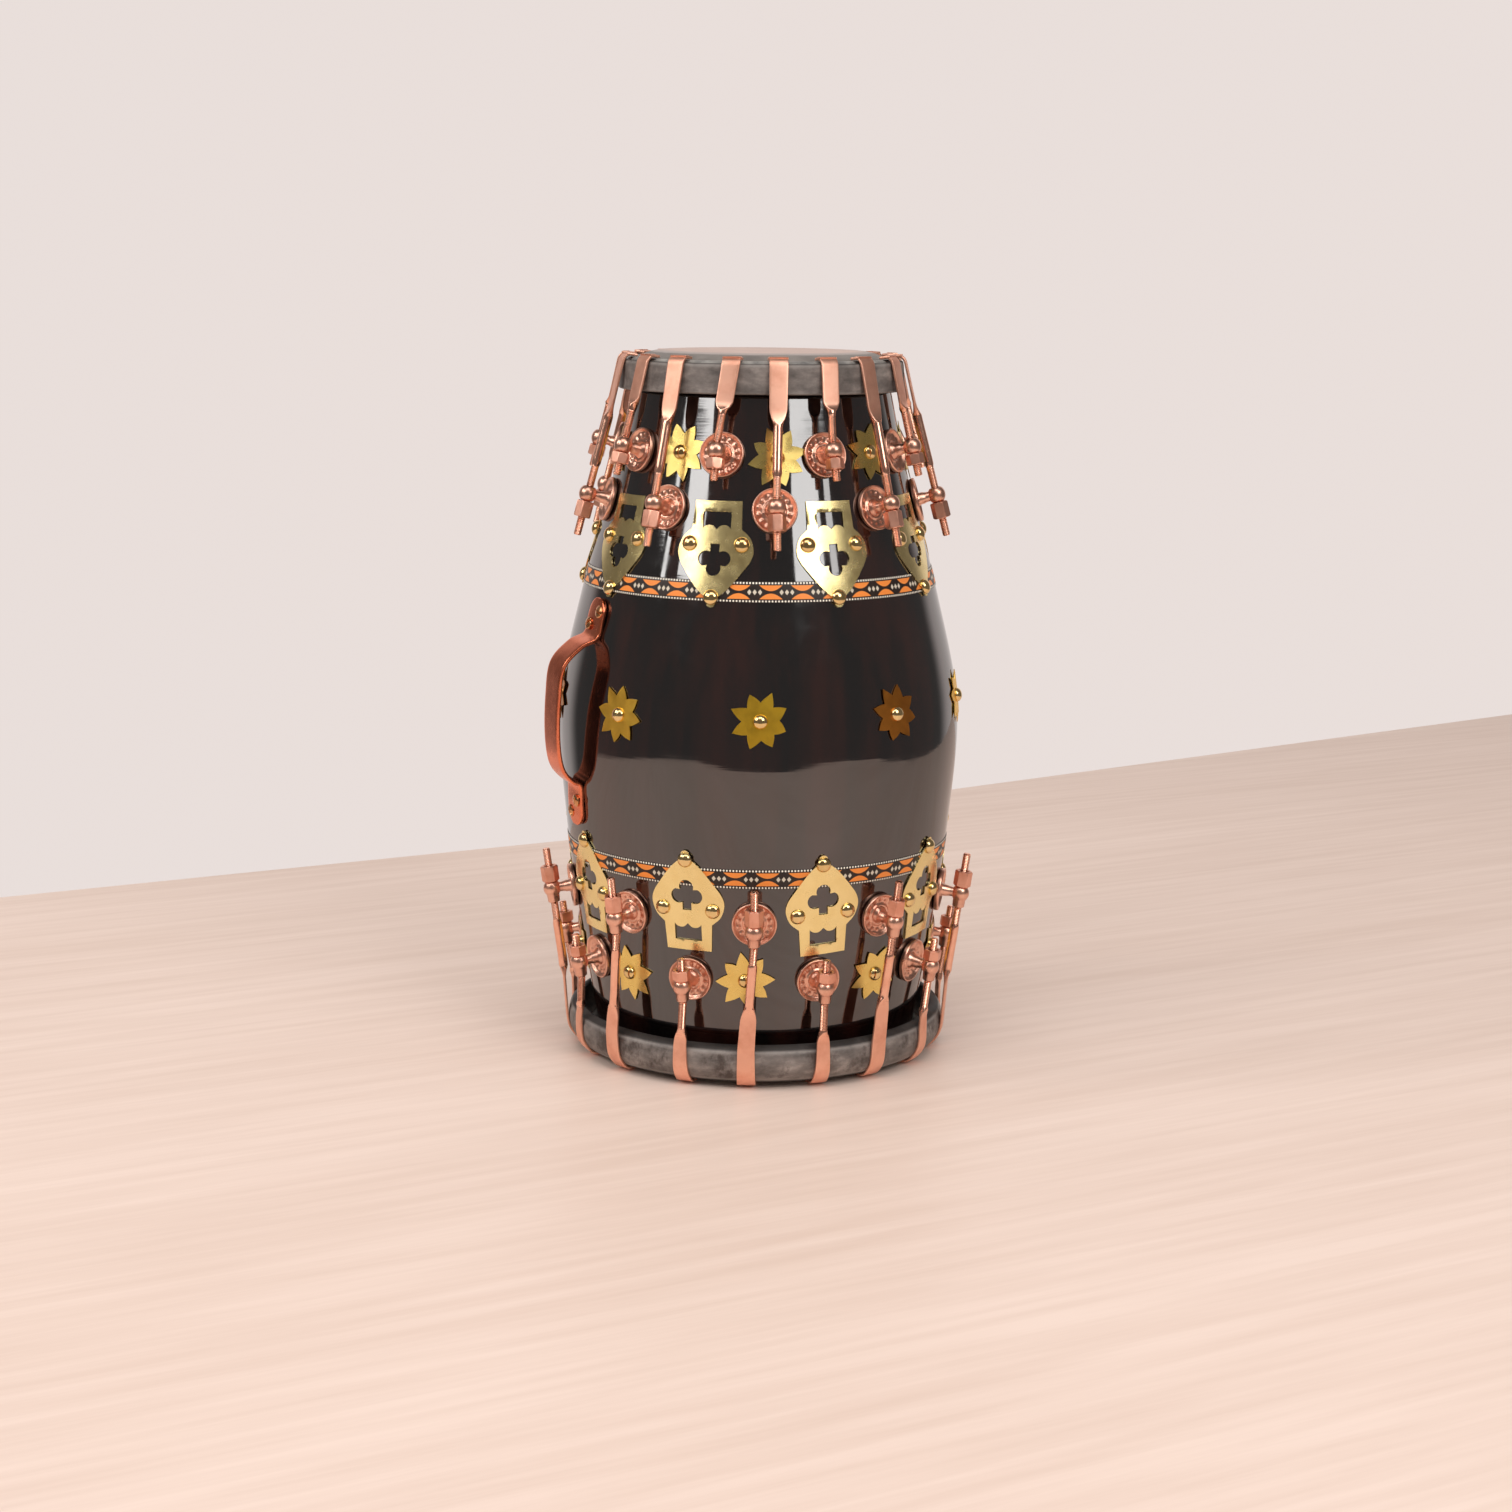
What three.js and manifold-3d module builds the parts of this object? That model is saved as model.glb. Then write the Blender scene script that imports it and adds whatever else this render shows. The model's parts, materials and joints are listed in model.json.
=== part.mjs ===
// A dholak, the two-headed barrel drum, standing on its bass head.
// Millimetres, +Z up. The origin is on the drum's axis, in the plane of the bass skin that it stands on.
// Azimuths are measured from -Y towards +X, so the carrying handle, at -90 degrees, is on the -X side.

import * as THREE from "three";
import { mergeVertices } from "three/addons/utils/BufferGeometryUtils.js";
import Module from "manifold-3d";

const wasm = await Module();
wasm.setup();

// Driving dimensions of the drum

const overallLength = 457;
const bellyRadius = 130.7;
const wall = 12;
const seatGap = 0.3;
const skinThickness = 1.5;

// How far the belly's fullness has come in, at one third and two thirds of the way from an end to the belly.
const bassFullnessShares = [0.478, 0.844];
const trebleFullnessShares = [0.312, 0.708];

// Facets round the drum, and rows of facets along the stave from end to end
const roundSides = 30;
const staveSteps = 8;
const hollowSteps = 4;

// Each head: `side` is +1 where the head looks up and -1 where it looks down.
// Setbacks and insets are measured from the head's own end, and standoffs from its end radius.
// Hooks leave the hoop at its outer edge on the treble head, and at its inner edge on the bass head.
const treble = {
  side: 1,
  endRadius: 78.7,
  edgeBevel: 8.7,
  rimDepth: 21,
  hoopStandoff: { outer: 12.3, inner: 13.7 },
  hoopHeight: 19,
  hoopSetback: 5.5,
  ringProud: 1.4,
  hookLeaveShare: 0,
  hookLeanDegrees: 15.2,
  firstHookDegrees: -23.5,
  eyeReach: { long: 88.4, short: 54.1 },
  stripLength: { long: 33, short: 18 },
  tapeInset: 143,
  plateInset: 120.7,
};
const bass = {
  side: -1,
  endRadius: 103.8,
  edgeBevel: 5.8,
  rimDepth: 22,
  hoopStandoff: { outer: 13.8, inner: 21.5 },
  hoopHeight: 24.5,
  hoopSetback: 3.5,
  ringProud: 0.3,
  hookLeaveShare: 1,
  hookLeanDegrees: 8.3,
  firstHookDegrees: -29,
  eyeReach: { long: 78.4, short: 39.2 },
  stripLength: { long: 24, short: 6.5 },
  tapeInset: 136.5,
  plateInset: 120.3,
};

// Hoops, and the skin-lapped flesh rings inside them
const hoopThickness = 3.2;
const ringRadius = 2.5;
const ringSides = 4;
const collarPlay = 1.2;
const pasteRadius = 45;
const pasteThickness = 2;
const pasteSides = 18;

// Hook bolts: a flat strip over the hoop that runs out into a round rod through an eye
const hooksPerHead = 18;
const stripWidth = 11.5;
const stripThickness = 1.8;
const stripSink = 0.9;
const legOverhang = 2.4;
const neckLength = 4;
const rodRadius = 2.6;
const rodTail = { long: 12, short: 7.5 };

// Half a hook's cross-section, as shares of its half width and half thickness: flat strip, six-sided rod
const stripSectionShares = [1, 0.92, 1];
const rodSectionShares = [1, 0.5, 0.866];

// Eyes, rosettes and nuts
const eyeRadius = 5.75;
const eyeWaist = 2.4;
const eyeHalfHeight = 4.6;
const tuningPlay = 0.7;
const shankRadius = 3.5;
const shankTipRadius = 2.3;
const rosetteRadius = 14.2;
const rosetteRim = 2.2;
const rosetteDish = 1;
const rosetteRoot = 2.2;
const nutAcrossFlats = 10;
const nutHeight = { long: 10.5, short: 6.8 };
const eyeSides = 6;
const lugSides = 6;

// Ornament: tape bands, padlock-shaped brass plates and stars
const tapeWidth = 12.6;
const tapeThickness = 0.8;
const plateThickness = 1.1;
const plateLift = 0.95;
const plateLength = 66;
const plateHalfWidth = 24.2;
const shackleLength = 17.5;
const shackleHalfWidth = 15.5;
const shackleBar = 6.4;
const windowCusp = 2.4;
const keyholeHalfWidth = 10.3;
const keyholeStart = 18.6;
const keyholeLength = 20.8;

// The plate's flank from its tip to its neck, as shares of its half width and of the length below the shackle
const plateFlankShares = [
  [0.74, 0.44],
  [1, 0.7],
  [0.89, 0.89],
];

// The keyhole's right side from its foot up, as shares of its half width and of its length
const keyholeShares = [
  [0, 0],
  [0.43, 0.16],
  [0.38, 0.37],
  [0.7, 0.33],
  [1, 0.55],
  [0.74, 0.75],
  [0.3, 0.79],
  [0.3, 1],
  [0, 1],
];
const starLift = 1.15;
const starTipRadius = 19;
const starNotchRadius = 12;
const starPoints = 8;
const starsPerRow = 9;
const middleStarShare = 0.5197;
const firstMiddleStarDegrees = -28.5;
const starTwistDegrees = 7;

// Handle: a flat copper strap with two rounded feet, each held by two screws
const strapWidth = 20;
const strapThickness = 2.8;
const handleClearance = { top: 4.2, bottom: 12.7 };
const footLength = 26;
const strapStandoff = 19.1;
const handleDegrees = -90;
const handleTiltDegrees = -5;
const screwOffset = 4.6;
const screwHeadRadius = 4;
const screwHeadHeight = 1.6;
const screwTopRadius = 2.8;
const screwShankRadius = 1.7;
const screwLength = 11;
const screwSides = 6;

// The strap's line from foot to foot, as shares of its reach beyond the feet and of the height between them
const strapLineShares = [
  [0.45, 0.035],
  [0.9, 0.17],
  [1, 0.4],
  [0.98, 0.68],
  [0.8, 0.88],
  [0.4, 0.985],
];

const overrun = 5;

// Finishes
const finishes = {
  lacquer: { color: 0x1a1413, roughness: 0.12, metalness: 0 },
  copper: { color: 0xc4704f, roughness: 0.3, metalness: 0.9 },
  brass: { color: 0xc9a653, roughness: 0.35, metalness: 0.9 },
  hide: { color: 0x55504d, roughness: 0.7, metalness: 0 },
  skin: { color: 0xd3bdb0, roughness: 0.6, metalness: 0 },
  iron: { color: 0x4d4946, roughness: 0.55, metalness: 0.8 },
  paste: { color: 0x2b2320, roughness: 0.9, metalness: 0 },
};

// Solids from geometries, and meshes from solids

function solid(geometry) {
  const bare = new THREE.BufferGeometry();
  const flat = geometry.index ? geometry.toNonIndexed() : geometry;
  bare.setAttribute("position", flat.getAttribute("position"));
  const merged = mergeVertices(bare, 1e-4);
  return new wasm.Manifold(
    new wasm.Mesh({
      numProp: 3,
      vertProperties: merged.attributes.position.array,
      triVerts: new Uint32Array(merged.index.array),
    }),
  );
}

function geometryOf(body) {
  const { vertProperties, triVerts } = body.getMesh();
  const geometry = new THREE.BufferGeometry();
  geometry.setAttribute("position", new THREE.BufferAttribute(vertProperties, 3));
  geometry.setIndex(new THREE.BufferAttribute(triVerts, 1));
  return geometry;
}

function piece(name, geometry, finish) {
  const material = new THREE.MeshStandardMaterial({ ...finishes[finish], flatShading: true });
  const mesh = new THREE.Mesh(geometry, material);
  mesh.name = name;
  return mesh;
}

// A closed outline of [radius, height] points turned round the drum's axis.
function turned(outline, sides = roundSides) {
  const points = outline.map(([radius, height]) => new THREE.Vector2(radius, height));
  return new THREE.LatheGeometry([...points, points[0]], sides).rotateX(Math.PI / 2);
}

// An outline of [radius, height] points that starts and ends on the axis.
function turnedSolid(outline, sides = roundSides) {
  const points = outline.map(([radius, height]) => new THREE.Vector2(radius, height));
  return new THREE.LatheGeometry(points, sides).rotateX(Math.PI / 2);
}

// Skins a row of closed loops of equally many points, with flat ends.
function loft(loops) {
  const count = loops[0].length;
  const index = [];
  for (let row = 0; row + 1 < loops.length; row += 1) {
    for (let k = 0; k < count; k += 1) {
      const a = row * count + k;
      const b = row * count + ((k + 1) % count);
      index.push(a, b, a + count);
      index.push(b, b + count, a + count);
    }
  }
  const last = (loops.length - 1) * count;
  for (let k = 1; k + 1 < count; k += 1) {
    index.push(0, k + 1, k);
    index.push(last, last + k, last + k + 1);
  }
  const geometry = new THREE.BufferGeometry().setFromPoints(loops.flat());
  geometry.setIndex(index);
  return geometry;
}

// The shell's outside: rows of facets on the stave's curve, as a radius for each height

const shellLow = skinThickness + seatGap;
const shellHigh = overallLength - skinThickness - seatGap;

function fullness(end, share) {
  return end + (bellyRadius - end) * share;
}

const staveRadii = [
  bass.endRadius,
  ...bassFullnessShares.map((share) => fullness(bass.endRadius, share)),
  bellyRadius,
  ...trebleFullnessShares.map((share) => fullness(treble.endRadius, share)).reverse(),
  treble.endRadius,
];
const staveHeights = staveRadii.map((_, k) =>
  THREE.MathUtils.lerp(shellLow, shellHigh, k / (staveRadii.length - 1)),
);
const staveCurve = new THREE.CubicInterpolant(staveHeights, staveRadii, 1);
const rowHeights = rows(staveSteps);
const rowRadii = rowHeights.map((height) => staveCurve.evaluate(height)[0]);
const staveFace = new THREE.LinearInterpolant(rowHeights, rowRadii, 1);

// Evenly spaced heights between the bevels of the two bearing edges
function rows(steps) {
  const low = bass.rimDepth;
  const high = overallLength - treble.rimDepth;
  return Array.from({ length: steps + 1 }, (_, k) => THREE.MathUtils.lerp(low, high, k / steps));
}

function shellRadius(height) {
  return staveFace.evaluate(height)[0];
}

// The direction out from the axis at an azimuth, and the direction along the drum's round.
function outward(degrees) {
  const angle = THREE.MathUtils.degToRad(degrees);
  return new THREE.Vector3(Math.sin(angle), -Math.cos(angle), 0);
}

function sideways(degrees) {
  return outward(degrees + 90);
}

function place(degrees, radius, height) {
  return outward(degrees).multiplyScalar(radius).setZ(height);
}

// Heads: heights that depend on which way the head looks

function headEnd(head) {
  return head.side > 0 ? overallLength : 0;
}

// A height that lies an inset away from the head's end
function insetHeight(head, inset) {
  return headEnd(head) - head.side * inset;
}

function bearingRadius(head) {
  return head.endRadius - head.edgeBevel;
}

// The edge of the hoop that the hooks bend over, and the edge nearer the belly
function hoopOuterEdge(head) {
  return insetHeight(head, head.hoopSetback);
}

function hoopInnerEdge(head) {
  return hoopOuterEdge(head) - head.side * head.hoopHeight;
}

// The hoop's outside radius at a height: it flares a little towards the belly.
function hoopRadiusAt(head, height) {
  const share = (head.side * (hoopOuterEdge(head) - height)) / head.hoopHeight;
  return head.endRadius + THREE.MathUtils.lerp(head.hoopStandoff.outer, head.hoopStandoff.inner, share);
}

function ringMiddle(head) {
  const height = hoopOuterEdge(head) + head.side * (head.ringProud - ringRadius);
  const inside = hoopRadiusAt(head, height) - hoopThickness;
  return { height, radius: inside - seatGap - ringRadius };
}

// Shell: a barrel turned from one log, open at both ends, with a bevelled bearing edge for each skin

function shellBody() {
  const outside = [
    [bearingRadius(bass), shellLow],
    ...rowHeights.map((height, k) => [rowRadii[k], height]),
    [bearingRadius(treble), shellHigh],
  ];
  const inside = [
    [bearingRadius(bass) - wall / 2, shellLow],
    ...rows(hollowSteps).map((height) => [shellRadius(height) - wall, height]),
    [bearingRadius(treble) - wall / 2, shellHigh],
  ];
  return solid(turned([...outside, ...inside.reverse()]));
}

// Skins: a flat disc over the bearing edge, drawn out into a collar that stops short of the flesh ring

function skin(head) {
  const end = headEnd(head);
  const under = end - head.side * skinThickness;
  const ring = ringMiddle(head);
  const edge = bearingRadius(head);
  const reach = ring.radius - ringRadius - collarPlay;
  const drop = (head.hoopSetback - head.ringProud) / (ring.radius - edge);
  const fall = head.side * drop * (reach - edge);
  const outline = [
    [0, end],
    [edge, end],
    [reach, end - fall],
    [reach, under - fall],
    [edge, under],
    [0, under],
  ];
  return turnedSolid(head.side > 0 ? outline.reverse() : outline);
}

function fleshRing(head) {
  const { radius, height } = ringMiddle(head);
  const outline = [];
  for (let k = 0; k < ringSides; k += 1) {
    const angle = (2 * Math.PI * k) / ringSides;
    const across = ringRadius * Math.sin(angle);
    const above = ringRadius * Math.cos(angle);
    outline.push([radius - across, height + head.side * above]);
  }
  return turned(head.side > 0 ? outline : outline.reverse());
}

// Hoop: a flat band that flares a little, with its hook bolts

function hoopBand(head) {
  const [outer, inner] = [hoopOuterEdge(head), hoopInnerEdge(head)];
  const outline = [
    [hoopRadiusAt(head, outer), outer],
    [hoopRadiusAt(head, inner), inner],
    [hoopRadiusAt(head, inner) - hoopThickness, inner],
    [hoopRadiusAt(head, outer) - hoopThickness, outer],
  ];
  return solid(turned(head.side > 0 ? outline.reverse() : outline));
}

// `along` runs down the rod from the hoop to the rod's end, and `over` stands square to it, away from the drum.
function hookAxes(head, degrees) {
  const lean = THREE.MathUtils.degToRad(head.hookLeanDegrees);
  const out = outward(degrees);
  const up = new THREE.Vector3(0, 0, head.side);
  const along = out.clone().multiplyScalar(Math.sin(lean)).addScaledVector(up, -Math.cos(lean));
  const over = out.clone().multiplyScalar(Math.cos(lean)).addScaledVector(up, Math.sin(lean));
  return { along, over };
}

// The middle of the strip where it lies on the hoop, at a height
function strapOnHoop(head, degrees, height) {
  return place(degrees, hoopRadiusAt(head, height) + stripThickness / 2 - stripSink, height);
}

// A point of the hook's straight part, at a distance from where it leaves the hoop
function hookPoint(head, degrees, distance) {
  const leave = hoopOuterEdge(head) - head.side * head.hoopHeight * head.hookLeaveShare;
  const { along } = hookAxes(head, degrees);
  return strapOnHoop(head, degrees, leave).addScaledVector(along, distance);
}

// A hook's cross-section: six points, flat for the strip and even for the rod
function hookSection(centre, across, over, halfWidth, halfThickness, shares) {
  const [side, edge, face] = shares;
  return [
    [side, 0],
    [edge, face],
    [-edge, face],
    [-side, 0],
    [-edge, -face],
    [edge, -face],
  ].map(([x, y]) =>
    centre
      .clone()
      .addScaledVector(across, x * halfWidth)
      .addScaledVector(over, y * halfThickness),
  );
}

function hook(head, degrees, kind) {
  const across = sideways(degrees);
  const up = new THREE.Vector3(0, 0, head.side);
  const { over } = hookAxes(head, degrees);
  const leaf = stripThickness / 2;
  const legHeight = hoopOuterEdge(head) + head.side * (head.ringProud + seatGap + leaf);
  const legTip = place(degrees, ringMiddle(head).radius - legOverhang, legHeight);
  const corner = strapOnHoop(head, degrees, legHeight);
  const mitre = over.clone().add(up).normalize();
  const stripEnd = hookPoint(head, degrees, head.stripLength[kind]);
  const neck = hookPoint(head, degrees, head.stripLength[kind] + neckLength);
  const rodEnd = hookPoint(head, degrees, head.eyeReach[kind] + nutFoot(kind) + rodTail[kind]);
  const flat = [stripWidth / 2, leaf, stripSectionShares];
  const mitred = [stripWidth / 2, leaf / mitre.dot(over), stripSectionShares];
  const round = [rodRadius, rodRadius, rodSectionShares];
  const loops = [
    hookSection(rodEnd, across, over, ...round),
    hookSection(neck, across, over, ...round),
    hookSection(stripEnd, across, over, ...flat),
    ...(head.hookLeaveShare ? [hookSection(hookPoint(head, degrees, 0), across, over, ...flat)] : []),
    hookSection(corner, across, mitre, ...mitred),
    hookSection(legTip, across, up, ...flat),
  ];
  return solid(loft(head.side > 0 ? loops.reverse() : loops));
}

function hookPlaces(head) {
  return Array.from({ length: hooksPerHead }, (_, k) => ({
    degrees: head.firstHookDegrees + (k * 360) / hooksPerHead,
    kind: k % 2 ? "short" : "long",
  }));
}

function hoopWithHooks(head) {
  const hooks = hookPlaces(head).map(({ degrees, kind }) => hook(head, degrees, kind));
  return geometryOf(hooks.reduce((whole, next) => whole.add(next), hoopBand(head)));
}

// Lugs: a ball eye on a shank that stands out of a round rosette on the shell

const boreRadius = rodRadius + tuningPlay;

// How far beyond the eye's middle the nut's far face is
function nutFoot(kind) {
  return eyeHalfHeight + seatGap + nutHeight[kind];
}

// The frame of an eye: X out along the shank, Z along the rod towards the hoop
function eyeFrame(head, degrees, kind) {
  const { along, over } = hookAxes(head, degrees);
  const towardsHoop = along.clone().negate();
  const beside = towardsHoop.clone().cross(over);
  const frame = new THREE.Matrix4().makeBasis(over, beside, towardsHoop);
  return frame.setPosition(hookPoint(head, degrees, head.eyeReach[kind]));
}

// The distance from the eye's middle to the shell along the shank, found by halving
function shankReach(head, kind) {
  const centre = hookPoint(head, 0, head.eyeReach[kind]);
  const { over } = hookAxes(head, 0);
  let near = 0;
  let far = bellyRadius;
  while (far - near > seatGap / 100) {
    const middle = (near + far) / 2;
    const at = centre.clone().addScaledVector(over, -middle);
    if (Math.hypot(at.x, at.y) > shellRadius(at.z)) near = middle;
    else far = middle;
  }
  return near;
}

function lug(head, degrees, kind) {
  const reach = shankReach(head, kind);
  const ball = turned(
    [
      [boreRadius, -eyeHalfHeight],
      [eyeRadius, -eyeWaist],
      [eyeRadius, eyeWaist],
      [boreRadius, eyeHalfHeight],
    ],
    eyeSides,
  );
  const shank = turnedSolid(
    [
      [0, -reach - rosetteRoot],
      [rosetteRadius, -reach - rosetteRoot],
      [rosetteRadius, -reach + rosetteRim],
      [shankRadius, -reach + rosetteDish],
      [shankTipRadius, -(boreRadius + eyeRadius) / 2],
      [0, -(boreRadius + eyeRadius) / 2],
    ],
    lugSides,
  ).rotateY(Math.PI / 2);
  const frame = eyeFrame(head, degrees, kind);
  return solid(shank.applyMatrix4(frame)).add(solid(ball.applyMatrix4(frame)));
}

function hexagon(apothem) {
  const corner = apothem / Math.cos(Math.PI / 6);
  return Array.from({ length: 6 }, (_, k) => {
    const angle = (k * Math.PI) / 3;
    return new THREE.Vector2(corner * Math.cos(angle), corner * Math.sin(angle));
  });
}

function nut(kind) {
  const shape = new THREE.Shape(hexagon(nutAcrossFlats / 2));
  shape.holes.push(new THREE.Path(hexagon(boreRadius)));
  const height = nutHeight[kind];
  const blank = new THREE.ExtrudeGeometry(shape, { depth: height, bevelEnabled: false });
  return blank.translate(0, 0, -nutFoot(kind));
}

// Ornament that follows the shell

// A frame on the shell at an azimuth and height: X across, Y up the slope, Z out
function slopeFrame(degrees, height, span) {
  const low = place(degrees, shellRadius(height - span / 2), height - span / 2);
  const high = place(degrees, shellRadius(height + span / 2), height + span / 2);
  const upSlope = high.clone().sub(low).normalize();
  const across = sideways(degrees);
  const frame = new THREE.Matrix4().makeBasis(across, upSlope, across.clone().cross(upSlope));
  return frame.setPosition(low.add(high).divideScalar(2));
}

// A thin plate bent over the shell. `half` is the outline of its half on the right of its middle line,
// counter-clockwise, and `faces` the triangles that fill it.
function bentPlate(half, faces, frame, lift) {
  const corners = [];
  const cornerAt = (k, side, height) => {
    const [x, y] = half[k];
    const at = new THREE.Vector3(side * x, y, 0).applyMatrix4(frame);
    const azimuth = THREE.MathUtils.radToDeg(Math.atan2(at.x, -at.y));
    return place(azimuth, shellRadius(at.z) + height, at.z);
  };
  for (const side of [1, -1]) {
    const under = (k) => cornerAt(k, side, lift);
    const over = (k) => cornerAt(k, side, lift + plateThickness);
    const add = (a, b, c) => corners.push(a, ...(side > 0 ? [b, c] : [c, b]));
    for (const [a, b, c] of faces) {
      add(over(a), over(b), over(c));
      add(under(a), under(c), under(b));
    }
    half.forEach(([x], k) => {
      const next = (k + 1) % half.length;
      if (x === 0 && half[next][0] === 0) return;
      add(under(k), under(next), over(k));
      add(under(next), over(next), over(k));
    });
  }
  return solid(new THREE.BufferGeometry().setFromPoints(corners));
}

// Half of a padlock-shaped plate, its middle at the origin and its tip below: down the middle line from
// the shackle, round the window and the keyhole to the tip, and back up the flank
function padlockHalf() {
  const neck = plateLength - shackleLength;
  const pane = shackleHalfWidth - shackleBar;
  const outline = [
    [0, plateLength],
    [0, plateLength - shackleBar],
    [pane, plateLength - shackleBar],
    [pane, neck + windowCusp],
    [0, neck],
    ...keyholeShares.map(([x, y]) => [x * keyholeHalfWidth, keyholeStart + y * keyholeLength]).reverse(),
    [0, 0],
    ...plateFlankShares.map(([x, y]) => [x * plateHalfWidth, y * neck]),
    [shackleHalfWidth, neck],
    [shackleHalfWidth, plateLength],
  ];
  return outline.map(([x, y]) => [x, y - plateLength / 2]);
}

// The tape round the shell, with the plates whose tips lie on it
function ornamentBand(head) {
  const tapeMiddle = insetHeight(head, head.tapeInset);
  const edges = [tapeMiddle - tapeWidth / 2, tapeMiddle + tapeWidth / 2];
  const [low, high] = edges.map((height) => shellRadius(height) + seatGap);
  const tape = turned([
    [low, edges[0]],
    [low + tapeThickness, edges[0]],
    [high + tapeThickness, edges[1]],
    [high, edges[1]],
  ]);
  const half = padlockHalf();
  const faces = THREE.ShapeUtils.triangulateShape(half.map(([x, y]) => new THREE.Vector2(x, y)), []);
  const plateMiddle = insetHeight(head, head.plateInset);
  const tipDown = new THREE.Matrix4().makeRotationZ(head.side > 0 ? 0 : Math.PI);
  const plates = hookPlaces(head)
    .filter(({ kind }) => kind === "short")
    .map(({ degrees }) => slopeFrame(degrees, plateMiddle, plateLength).multiply(tipDown))
    .map((frame) => bentPlate(half, faces, frame, plateLift));
  return geometryOf(plates.reduce((whole, next) => whole.add(next), solid(tape)));
}

// A star, fanned from its middle
function star(degrees, height, twistDegrees) {
  const rim = Array.from({ length: starPoints + 1 }, (_, k) => {
    const angle = (Math.PI * k) / starPoints;
    const radius = k % 2 ? starNotchRadius : starTipRadius;
    return [k % starPoints ? radius * Math.sin(angle) : 0, -radius * Math.cos(angle)];
  });
  const faces = Array.from({ length: starPoints }, (_, k) => [k, k + 1, rim.length]);
  const twist = new THREE.Matrix4().makeRotationZ(THREE.MathUtils.degToRad(twistDegrees));
  const frame = slopeFrame(degrees, height, starNotchRadius).multiply(twist);
  return geometryOf(bentPlate([...rim, [0, 0]], faces, frame, starLift));
}

// Handle, drawn along +X with Z up, then tilted and turned into place

const trebleTapeEdge = insetHeight(treble, treble.tapeInset) - tapeWidth / 2;
const bassTapeEdge = insetHeight(bass, bass.tapeInset) + tapeWidth / 2;
const handleTop = trebleTapeEdge - handleClearance.top;
const handleBottom = bassTapeEdge + handleClearance.bottom;
const handleMiddle = (handleTop + handleBottom) / 2;
const strapReach = bellyRadius + strapStandoff;
const feet = { upper: handleTop - footLength / 2, lower: handleBottom + footLength / 2 };

// The strap's face next to the shell, as [distance from the axis, height] from the top end to the bottom
function strapLine() {
  const upper = handleTop - footLength;
  const lower = handleBottom + footLength;
  const bends = strapLineShares.map(([reach, down]) => {
    const height = THREE.MathUtils.lerp(upper, lower, down);
    const foot = THREE.MathUtils.lerp(shellRadius(upper), shellRadius(lower), down);
    return [THREE.MathUtils.lerp(foot, strapReach - strapThickness, reach), height];
  });
  const seat = (height) => [shellRadius(height) + seatGap, height];
  return [seat(handleTop), seat(upper), ...bends, seat(lower), seat(handleBottom)];
}

// A line moved sideways by a distance, square to its own direction
function offsetLine(line, distance) {
  return line.map(([x, y], k) => {
    const [fromX, fromY] = line[Math.max(k - 1, 0)];
    const [toX, toY] = line[Math.min(k + 1, line.length - 1)];
    const length = Math.hypot(toX - fromX, toY - fromY);
    return [x - ((toY - fromY) * distance) / length, y + ((toX - fromX) * distance) / length];
  });
}

function strap() {
  const inner = strapLine();
  const outline = [...inner, ...offsetLine(inner, strapThickness).reverse()];
  const side = new THREE.Shape(outline.map(([x, y]) => new THREE.Vector2(x, y)));
  const bar = new THREE.ExtrudeGeometry(side, { depth: strapWidth, bevelEnabled: false });
  bar.translate(0, 0, -strapWidth / 2).rotateX(Math.PI / 2);
  const half = strapWidth / 2;
  const plan = new THREE.Shape();
  plan.absarc(0, handleTop - half, half, 0, Math.PI, false);
  plan.absarc(0, handleBottom + half, half, Math.PI, 2 * Math.PI, false);
  const depth = strapReach + overrun;
  const mask = new THREE.ExtrudeGeometry(plan, { depth, bevelEnabled: false, curveSegments: 5 });
  mask.rotateX(Math.PI / 2).rotateZ(Math.PI / 2);
  return solid(bar).intersect(solid(mask));
}

// A screw's frame: Z out of the foot, its origin on the foot's outer face
function screwFrames() {
  return Object.values(feet).flatMap((height) =>
    [1, -1].map((way) => {
      const frame = slopeFrame(90, height, footLength);
      const at = new THREE.Vector3(way * screwOffset, way * screwOffset, seatGap + strapThickness);
      return frame.multiply(new THREE.Matrix4().setPosition(at));
    }),
  );
}

function screw() {
  return turnedSolid(
    [
      [0, -screwLength],
      [screwShankRadius, -screwLength],
      [screwShankRadius, seatGap],
      [screwHeadRadius, seatGap],
      [screwTopRadius, seatGap + screwHeadHeight],
      [0, seatGap + screwHeadHeight],
    ],
    screwSides,
  );
}

function screwHole() {
  const radius = screwShankRadius + seatGap;
  const length = screwLength + overrun + seatGap;
  const hole = new THREE.CylinderGeometry(radius, radius, length, screwSides);
  return hole.rotateX(Math.PI / 2).translate(0, 0, overrun - length / 2);
}

// Assembly

const dholak = new THREE.Group();

// The tilt is about the line that points straight out through the handle's middle.
const handleFrame = new THREE.Matrix4()
  .makeRotationZ(THREE.MathUtils.degToRad(handleDegrees - 90))
  .multiply(new THREE.Matrix4().makeTranslation(0, 0, handleMiddle))
  .multiply(new THREE.Matrix4().makeRotationX(THREE.MathUtils.degToRad(handleTiltDegrees)))
  .multiply(new THREE.Matrix4().makeTranslation(0, 0, -handleMiddle));

const heads = { treble, bass };
const holes = screwFrames().map((frame) => screwHole().applyMatrix4(frame));
const carried = Object.values(heads)
  .flatMap((head) => hookPlaces(head).map(({ degrees, kind }) => lug(head, degrees, kind)))
  .reduce((whole, next) => whole.add(next), shellBody());
const drilled = holes.reduce(
  (whole, hole) => whole.subtract(solid(hole.clone().applyMatrix4(handleFrame))),
  carried,
);
dholak.add(piece("shell", geometryOf(drilled), "lacquer"));

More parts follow.
